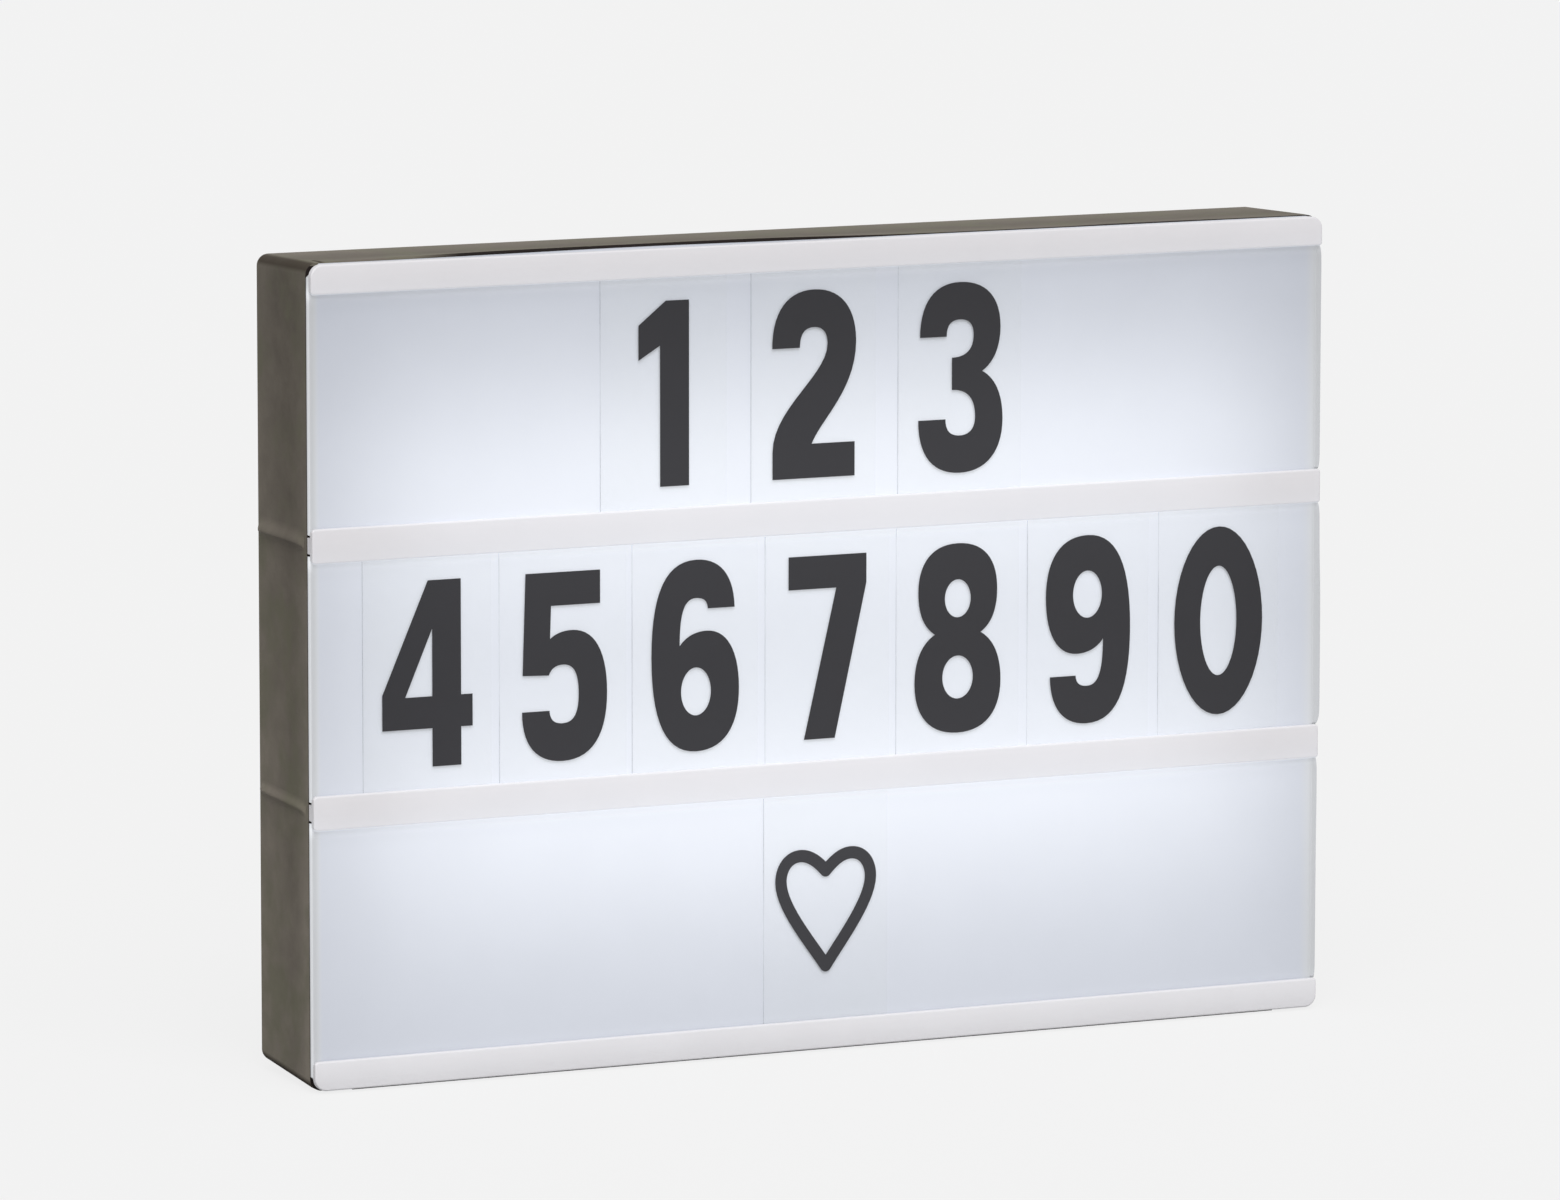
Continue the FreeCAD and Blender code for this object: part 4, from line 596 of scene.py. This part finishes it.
# a digit stands on a line 25.2 mm below the middle of its card
FOOT_LINE = 0.0252
for number, digit in enumerate("1234567890", start=1):
    low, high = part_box(f"card_{number}")
    ink_print(f"digit_print_{number}", DIGITS[digit], f"card_{number}", (low[0] + high[0]) / 2,
              (low[2] + high[2]) / 2 - FOOT_LINE, low[1])
low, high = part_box("heart_card")
ink_print("heart_print", heart_outlines(), "heart_card", (low[0] + high[0]) / 2, 0.0, low[1])


# ------------------------------------------------------------------ reflector sheet
# A die-cut 0.8 mm sheet of matt white polypropylene, clamped between the housing's posts and
# the panel's bosses. It throws the lamps' light forward, and is scuffed a little all over.

white_sheet, shader, place = start_finish("matt_white_pp_sheet")
scuff = add_node(white_sheet, "ShaderNodeTexNoise",
                 {"Vector": place, "Scale": 1 / 0.004, "Detail": 5.0})
tone = add_node(white_sheet, "ShaderNodeMix",
                {0: scuff, 6: linear("E6E7E8"), 7: linear("F1F1F0")}, data_type="RGBA")
bump = add_node(white_sheet, "ShaderNodeBump", {"Height": scuff, "Distance": 0.00003})
plug(white_sheet, shader, {
    "Base Color": tone.outputs[2], "Roughness": 0.7, "Normal": bump})
dress(white_sheet, "reflector_sheet")


# ------------------------------------------------------------------ lamp boards
# Two long strips of FR4 under a glossy white solder mask, screwed through the sheet to the
# housing's posts. The copper below the mask shows as slightly raised tracks.

lamp_board, shader, place = start_finish("white_solder_mask")
tracks = add_node(lamp_board, "ShaderNodeTexBrick",
                  {"Vector": place, "Scale": 1 / 0.019, "Mortar Size": 0.03, "Brick Width": 1.0,
                   "Row Height": 0.18, "Color1": linear("ECECE6"), "Color2": linear("F2F2EE"),
                   "Mortar": linear("D6D5CB")})
bump = add_node(lamp_board, "ShaderNodeBump",
                {"Height": tracks.outputs["Fac"], "Distance": 0.00004})
plug(lamp_board, shader, {
    "Base Color": tracks.outputs["Color"], "Roughness": 0.32, "Normal": bump})
dress(lamp_board, "lower_led_board", "upper_led_board")


# ------------------------------------------------------------------ lamps
# White LEDs in 5 mm packages, soldered in a row along each board. Each is a disc of yellow
# phosphor in silicone, cast in a white moulded cup, and it is lit.

phosphor, shader, place = start_finish("phosphor_in_a_white_package")
dust_and_painted_shade = add_node(phosphor, "ShaderNodeTexNoise",
                {"Vector": place, "Scale": 1 / 0.0006, "Detail": 2.0})
tone = add_node(phosphor, "ShaderNodeMix",
                {0: dust_and_painted_shade, 6: linear("F1E7A6"), 7: linear("FBF4CC")}, data_type="RGBA")
plug(phosphor, shader, {
    "Base Color": tone.outputs[2], "Roughness": 0.4, "Emission Color": linear("F3F8FF"),
    "Emission Strength": 2.0})
dress(phosphor, "lower_leds", "upper_leds")


# ------------------------------------------------------------------ screws
# Self-tapping steel screws hold the panel to the housing, and the lamp boards and the power
# board to their posts. Their zinc plating is bright and slightly cloudy.

zinc, shader, place = start_finish("zinc_plated_steel")
turned_marks = add_node(zinc, "ShaderNodeTexNoise",
                        {"Vector": place, "Scale": 1 / 0.0007, "Detail": 4.0})
tone = add_node(zinc, "ShaderNodeMix",
                {0: turned_marks, 6: linear("A9ABAE"), 7: linear("D2D3D2")}, data_type="RGBA")
gloss = add_node(zinc, "ShaderNodeMapRange", {0: turned_marks, 1: 0.3, 2: 0.7, 3: 0.24, 4: 0.42})
plug(zinc, shader, {
    "Base Color": tone.outputs[2], "Metallic": 1.0, "Roughness": gloss})
dress(zinc, "case_screws", "led_board_screws", "power_board_screws")


# ------------------------------------------------------------------ batteries
# Six AA cells in shrunk plastic sleeves: graphite, with a pale band at the nub's end. The
# steel can shows at both ends.

SPOKES = 40


def turned(name, profile, x, y):
    """A closed turned mesh: the profile (radius, height) carried round a vertical axis at
    (x, y): x + r cos a, y + r sin a, z. Its first and last points lie on the axis. Where the
    profile runs down, the faces are turned round, so that they point outwards."""
    radius, height = profile.T
    rings = len(radius) - 2
    a = np.linspace(0, 2 * np.pi, SPOKES, endpoint=False)
    places = np.stack([x + radius[1:-1, None] * np.cos(a), y + radius[1:-1, None] * np.sin(a),
                       np.repeat(height[1:-1, None], SPOKES, axis=1)], axis=-1).reshape(-1, 3)
    foot, head = len(places), len(places) + 1
    places = np.concatenate([places, [(x, y, height[0]), (x, y, height[-1])]])
    index = np.arange(rings * SPOKES).reshape(rings, SPOKES)
    after = np.roll(index, -1, axis=1)
    walls = np.stack([index[:-1], after[:-1], after[1:], index[1:]], axis=-1).reshape(-1, 4)
    faces = (walls.tolist() + np.column_stack([after[0], index[0], np.full(SPOKES, foot)]).tolist()
             + np.column_stack([index[-1], after[-1], np.full(SPOKES, head)]).tolist())
    if height[0] > height[-1]:
        faces = [face[::-1] for face in faces]
    return smooth_mesh(name, places, faces)


sleeve, shader, place = start_finish("battery_sleeve_and_can")
share = add_node(sleeve, "ShaderNodeUVMap")
axes = add_node(sleeve, "ShaderNodeSeparateXYZ", {0: share}).outputs
band = add_node(sleeve, "ShaderNodeMath", {0: axes["Y"], 1: 0.8}, operation="GREATER_THAN")
tone = add_node(sleeve, "ShaderNodeMix",
                {0: band, 6: linear("2B2E33"), 7: linear("B9BDC0")}, data_type="RGBA")
steel = add_node(sleeve, "ShaderNodeAttribute", attribute_name="bare_steel").outputs["Fac"]
tone = add_node(sleeve, "ShaderNodeMix", {0: steel, 6: tone.outputs[2], 7: linear("C4C3BF")},
                data_type="RGBA")
wear = add_node(sleeve, "ShaderNodeTexNoise", {"Vector": place, "Scale": 1 / 0.003, "Detail": 3.0})
gloss = add_node(sleeve, "ShaderNodeMapRange", {0: wear, 1: 0.3, 2: 0.7, 3: 0.2, 4: 0.34})
plug(sleeve, shader, {
    "Base Color": tone.outputs[2], "Metallic": steel, "Roughness": gloss})

for number in range(1, 7):
    low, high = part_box(f"battery_{number}")
    x, y = (low[0] + high[0]) / 2, (low[1] + high[1]) / 2
    nub_up = number % 2 == 1
    shape = np.array([(0, 0.05), (4.6, 0.05), (5.2, 0.35), (6.35, 0.35), (6.6, 0.1), (7.05, 0.12),
                      (7.25, 0.5), (7.25, 48.2), (7.1, 48.9), (6.5, 49.25), (5.6, 49.2),
                      (5.2, 48.9), (2.9, 48.9), (2.6, 49.2), (2.6, 50.1), (2.3, 50.45),
                      (0, 50.5)]) * 0.001
    bare = np.array([1, 1, 1, 1, 0, 0, 0, 0, 0, 0, 0, 0, 1, 1, 1, 1, 1], float)
    profile = shape.copy()
    profile[:, 1] = low[2] + shape[:, 1] if nub_up else high[2] - shape[:, 1]
    mesh = turned(f"cell_{number}", profile, x, y)
    level = np.concatenate([np.repeat(shape[1:-1, 1], SPOKES), shape[[0, -1], 1]]) / shape[-1, 1]
    loops = np.empty(len(mesh.loops), int)
    mesh.loops.foreach_get("vertex_index", loops)
    mesh.uv_layers.new(name="along").data.foreach_set(
        "uv", np.column_stack([np.zeros(len(loops)), level[loops]]).ravel())
    mesh.attributes.new("bare_steel", "FLOAT", "POINT").data.foreach_set(
        "value", np.concatenate([np.repeat(bare[1:-1], SPOKES), bare[[0, -1]]]))
    cell = new_piece(f"cell_{number}", mesh, sleeve, "box")
    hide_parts(f"battery_{number}")


# ------------------------------------------------------------------ springs and contacts
# Springs of steel wire and contacts of strip at both ends of the cells, and the charging
# socket's shell. All are nickel plated: warm, bright and finely marked by drawing.

nickel, shader, place = start_finish("nickel_plate")
drawn_marks = add_node(nickel, "ShaderNodeTexNoise",
                       {"Vector": place, "Scale": 1 / 0.0005, "Detail": 3.0})
tone = add_node(nickel, "ShaderNodeMix",
                {0: drawn_marks, 6: linear("B8B2A6"), 7: linear("D8D4CB")}, data_type="RGBA")
gloss = add_node(nickel, "ShaderNodeMapRange", {0: drawn_marks, 1: 0.3, 2: 0.7, 3: 0.18, 4: 0.32})
plug(nickel, shader, {
    "Base Color": tone.outputs[2], "Metallic": 1.0, "Roughness": gloss})
dress(nickel, "battery_springs", "lower_contacts", "upper_contacts", "usb_socket")


# ------------------------------------------------------------------ battery door
# A flush door on two moulded pins at its lower edge, which lifts at a thumb tongue. It is the
# same black ABS as the housing, from a tool with the same grain.

dress(black_abs, "battery_door")


# ------------------------------------------------------------------ rocker switch
# A switch snapped into the right wall. Its frame is moulded in satin black nylon, its dished
# key in glossier black ABS, and its terminals are tinned brass.

nylon, shader, place = start_finish("black_nylon")
grain = add_node(nylon, "ShaderNodeTexNoise",
                 {"Vector": place, "Scale": 1 / 0.0006, "Detail": 2.0})
tone = add_node(nylon, "ShaderNodeMix",
                {0: grain, 6: linear("1B1B1C"), 7: linear("232324")}, data_type="RGBA")
bump = add_node(nylon, "ShaderNodeBump", {"Height": grain, "Distance": 0.00002})
plug(nylon, shader, {
    "Base Color": tone.outputs[2], "Roughness": 0.5, "Normal": bump})
dress(nylon, "switch_body")

key_abs, shader, place = start_finish("polished_black_abs")
smear = add_node(key_abs, "ShaderNodeTexNoise",
                 {"Vector": place, "Scale": 1 / 0.003, "Detail": 3.0})
gloss = add_node(key_abs, "ShaderNodeMapRange", {0: smear, 1: 0.3, 2: 0.7, 3: 0.14, 4: 0.28})
tone = add_node(key_abs, "ShaderNodeMix",
                {0: smear, 6: linear("18181A"), 7: linear("1F1F21")}, data_type="RGBA")
plug(key_abs, shader, {
    "Base Color": tone.outputs[2], "Roughness": gloss})
dress(key_abs, "rocker")

tinned, shader, place = start_finish("tinned_brass")
stain = add_node(tinned, "ShaderNodeTexNoise",
                 {"Vector": place, "Scale": 1 / 0.001, "Detail": 3.0})
tone = add_node(tinned, "ShaderNodeMix",
                {0: stain, 6: linear("B09A62"), 7: linear("CFC7B0")}, data_type="RGBA")
plug(tinned, shader, {
    "Base Color": tone.outputs[2], "Metallic": 1.0, "Roughness": 0.3})
dress(tinned, "switch_terminals")


# ------------------------------------------------------------------ power board
# A small board of FR4 under green solder mask, with its tracks just visible. It is screwed to
# two posts, and carries the charging socket at its right edge.

green_board, shader, place = start_finish("green_solder_mask")
tracks = add_node(green_board, "ShaderNodeTexBrick",
                  {"Vector": place, "Scale": 1 / 0.006, "Mortar Size": 0.06,
                   "Color1": linear("1D5A36"), "Color2": linear("22643D"),
                   "Mortar": linear("3C8455")})
plug(green_board, shader, {
    "Base Color": tracks.outputs["Color"], "Roughness": 0.3})
dress(green_board, "power_board")


# ------------------------------------------------------------------ leads
# Stranded copper in soft PVC insulation, red for plus and black for minus, slightly dusty.
# The leads are soldered between the contacts, the switch and the boards.

for colour, pale, nodes in (
        ("A31D16", "B8352B", ("battery_lead_red", "led_lead_red", "link_lead_red", "switch_lead")),
        ("151515", "242424", ("battery_lead_black", "led_lead_black", "link_lead_black"))):
    soft_pvc, shader, place = start_finish(f"pvc_insulation_{nodes[0]}")
    dust_and_painted_shade = add_node(soft_pvc, "ShaderNodeTexNoise",
                    {"Vector": place, "Scale": 1 / 0.002, "Detail": 3.0})
    tone = add_node(soft_pvc, "ShaderNodeMix",
                    {0: dust_and_painted_shade, 6: linear(colour), 7: linear(pale)}, data_type="RGBA")
    plug(soft_pvc, shader, {
        "Base Color": tone.outputs[2], "Roughness": 0.4})
    dress(soft_pvc, *nodes)


# ------------------------------------------------------------------ floor
# A pale seamless floor. The camera sees mostly its flat pale grey, with a trace of the
# object's shadow.

paper = start_finish("seamless_paper")[0]
seen = add_node(paper, "ShaderNodeLightPath").outputs["Is Camera Ray"]
share = add_node(paper, "ShaderNodeMath", {0: seen, 1: 0.86}, operation="MULTIPLY")
matt = add_node(paper, "ShaderNodeBsdfDiffuse", {"Color": linear("B0B0B0")})
flat = add_node(paper, "ShaderNodeEmission", {"Color": linear("FAFAFA"), "Strength": 1.0})
mixed = add_node(paper, "ShaderNodeMixShader",
                 {0: share, 1: matt, 2: flat})
plug(paper, paper.node_tree.nodes["Material Output"], {"Surface": mixed})
corners = np.array([(-40, -40, 0), (40, -40, 0), (40, 40, 0), (-40, 40, 0)], float)
mesh = bpy.data.meshes.new("floor")
mesh.from_pydata(corners, [], [(0, 1, 2, 3)])
mesh.materials.append(paper)
floor = bpy.data.objects.new("floor", mesh)
bpy.context.collection.objects.link(floor)


# ------------------------------------------------------------------ light
# A dim even room, which the camera sees as plain pale grey, and one wide soft lamp above the
# box, in front of it and a little to its left.

room = bpy.data.worlds.new("room")
bpy.context.scene.world = room
room.use_nodes = True
rays = add_node(room, "ShaderNodeLightPath").outputs
seen = add_node(room, "ShaderNodeMath", {0: rays["Is Camera Ray"], 1: rays["Is Glossy Ray"]},
                operation="MAXIMUM")
seen = add_node(room, "ShaderNodeMath", {0: seen, 1: rays["Is Transmission Ray"]},
                operation="MAXIMUM")
tone = add_node(room, "ShaderNodeMix",
                {0: seen, 6: (0.42, 0.42, 0.42, 1.0), 7: linear("F2F2F2")}, data_type="RGBA")
plug(room, room.node_tree.nodes["Background"], {"Color": tone.outputs[2]})

soft_lamp = bpy.data.lights.new("soft_lamp", "SUN")
soft_lamp.energy = 2.75
soft_lamp.angle = np.radians(50)
lamp = bpy.data.objects.new("soft_lamp", soft_lamp)
lamp.rotation_euler = Vector((-0.15, -0.55, 0.75)).to_track_quat("Z", "Y").to_euler()
bpy.context.collection.objects.link(lamp)


# ------------------------------------------------------------------ camera
# A long lens 2.7 m away, a little above the box and to its left, looking down at it by 8
# degrees and hardly rolled.

yaw, pitch, roll = np.radians((24.96, 8.14, 0.045))
target, distance = Vector((-0.01432, -0.02025, 0.12456)), 2.6571
back = Vector((-np.sin(yaw) * np.cos(pitch), -np.cos(yaw) * np.cos(pitch), np.sin(pitch)))
right = Vector((np.cos(yaw), -np.sin(yaw), 0))
up = back.cross(right)
lens = bpy.data.cameras.new("camera")
image_width, focal_length = 1560, 9875.7     # in pixels
lens.sensor_width = 36
lens.lens = focal_length * lens.sensor_width / image_width
lens.clip_end = 200
camera = bpy.data.objects.new("camera", lens)
rolled_right = right * np.cos(roll) + up * np.sin(roll)
rolled_up = up * np.cos(roll) - right * np.sin(roll)
turn = Matrix((rolled_right, rolled_up, back)).transposed()
camera.matrix_world = Matrix.Translation(target + back * distance) @ turn.to_4x4()
bpy.context.collection.objects.link(camera)
bpy.context.scene.camera = camera
bpy.context.scene.view_settings.view_transform = "Standard"
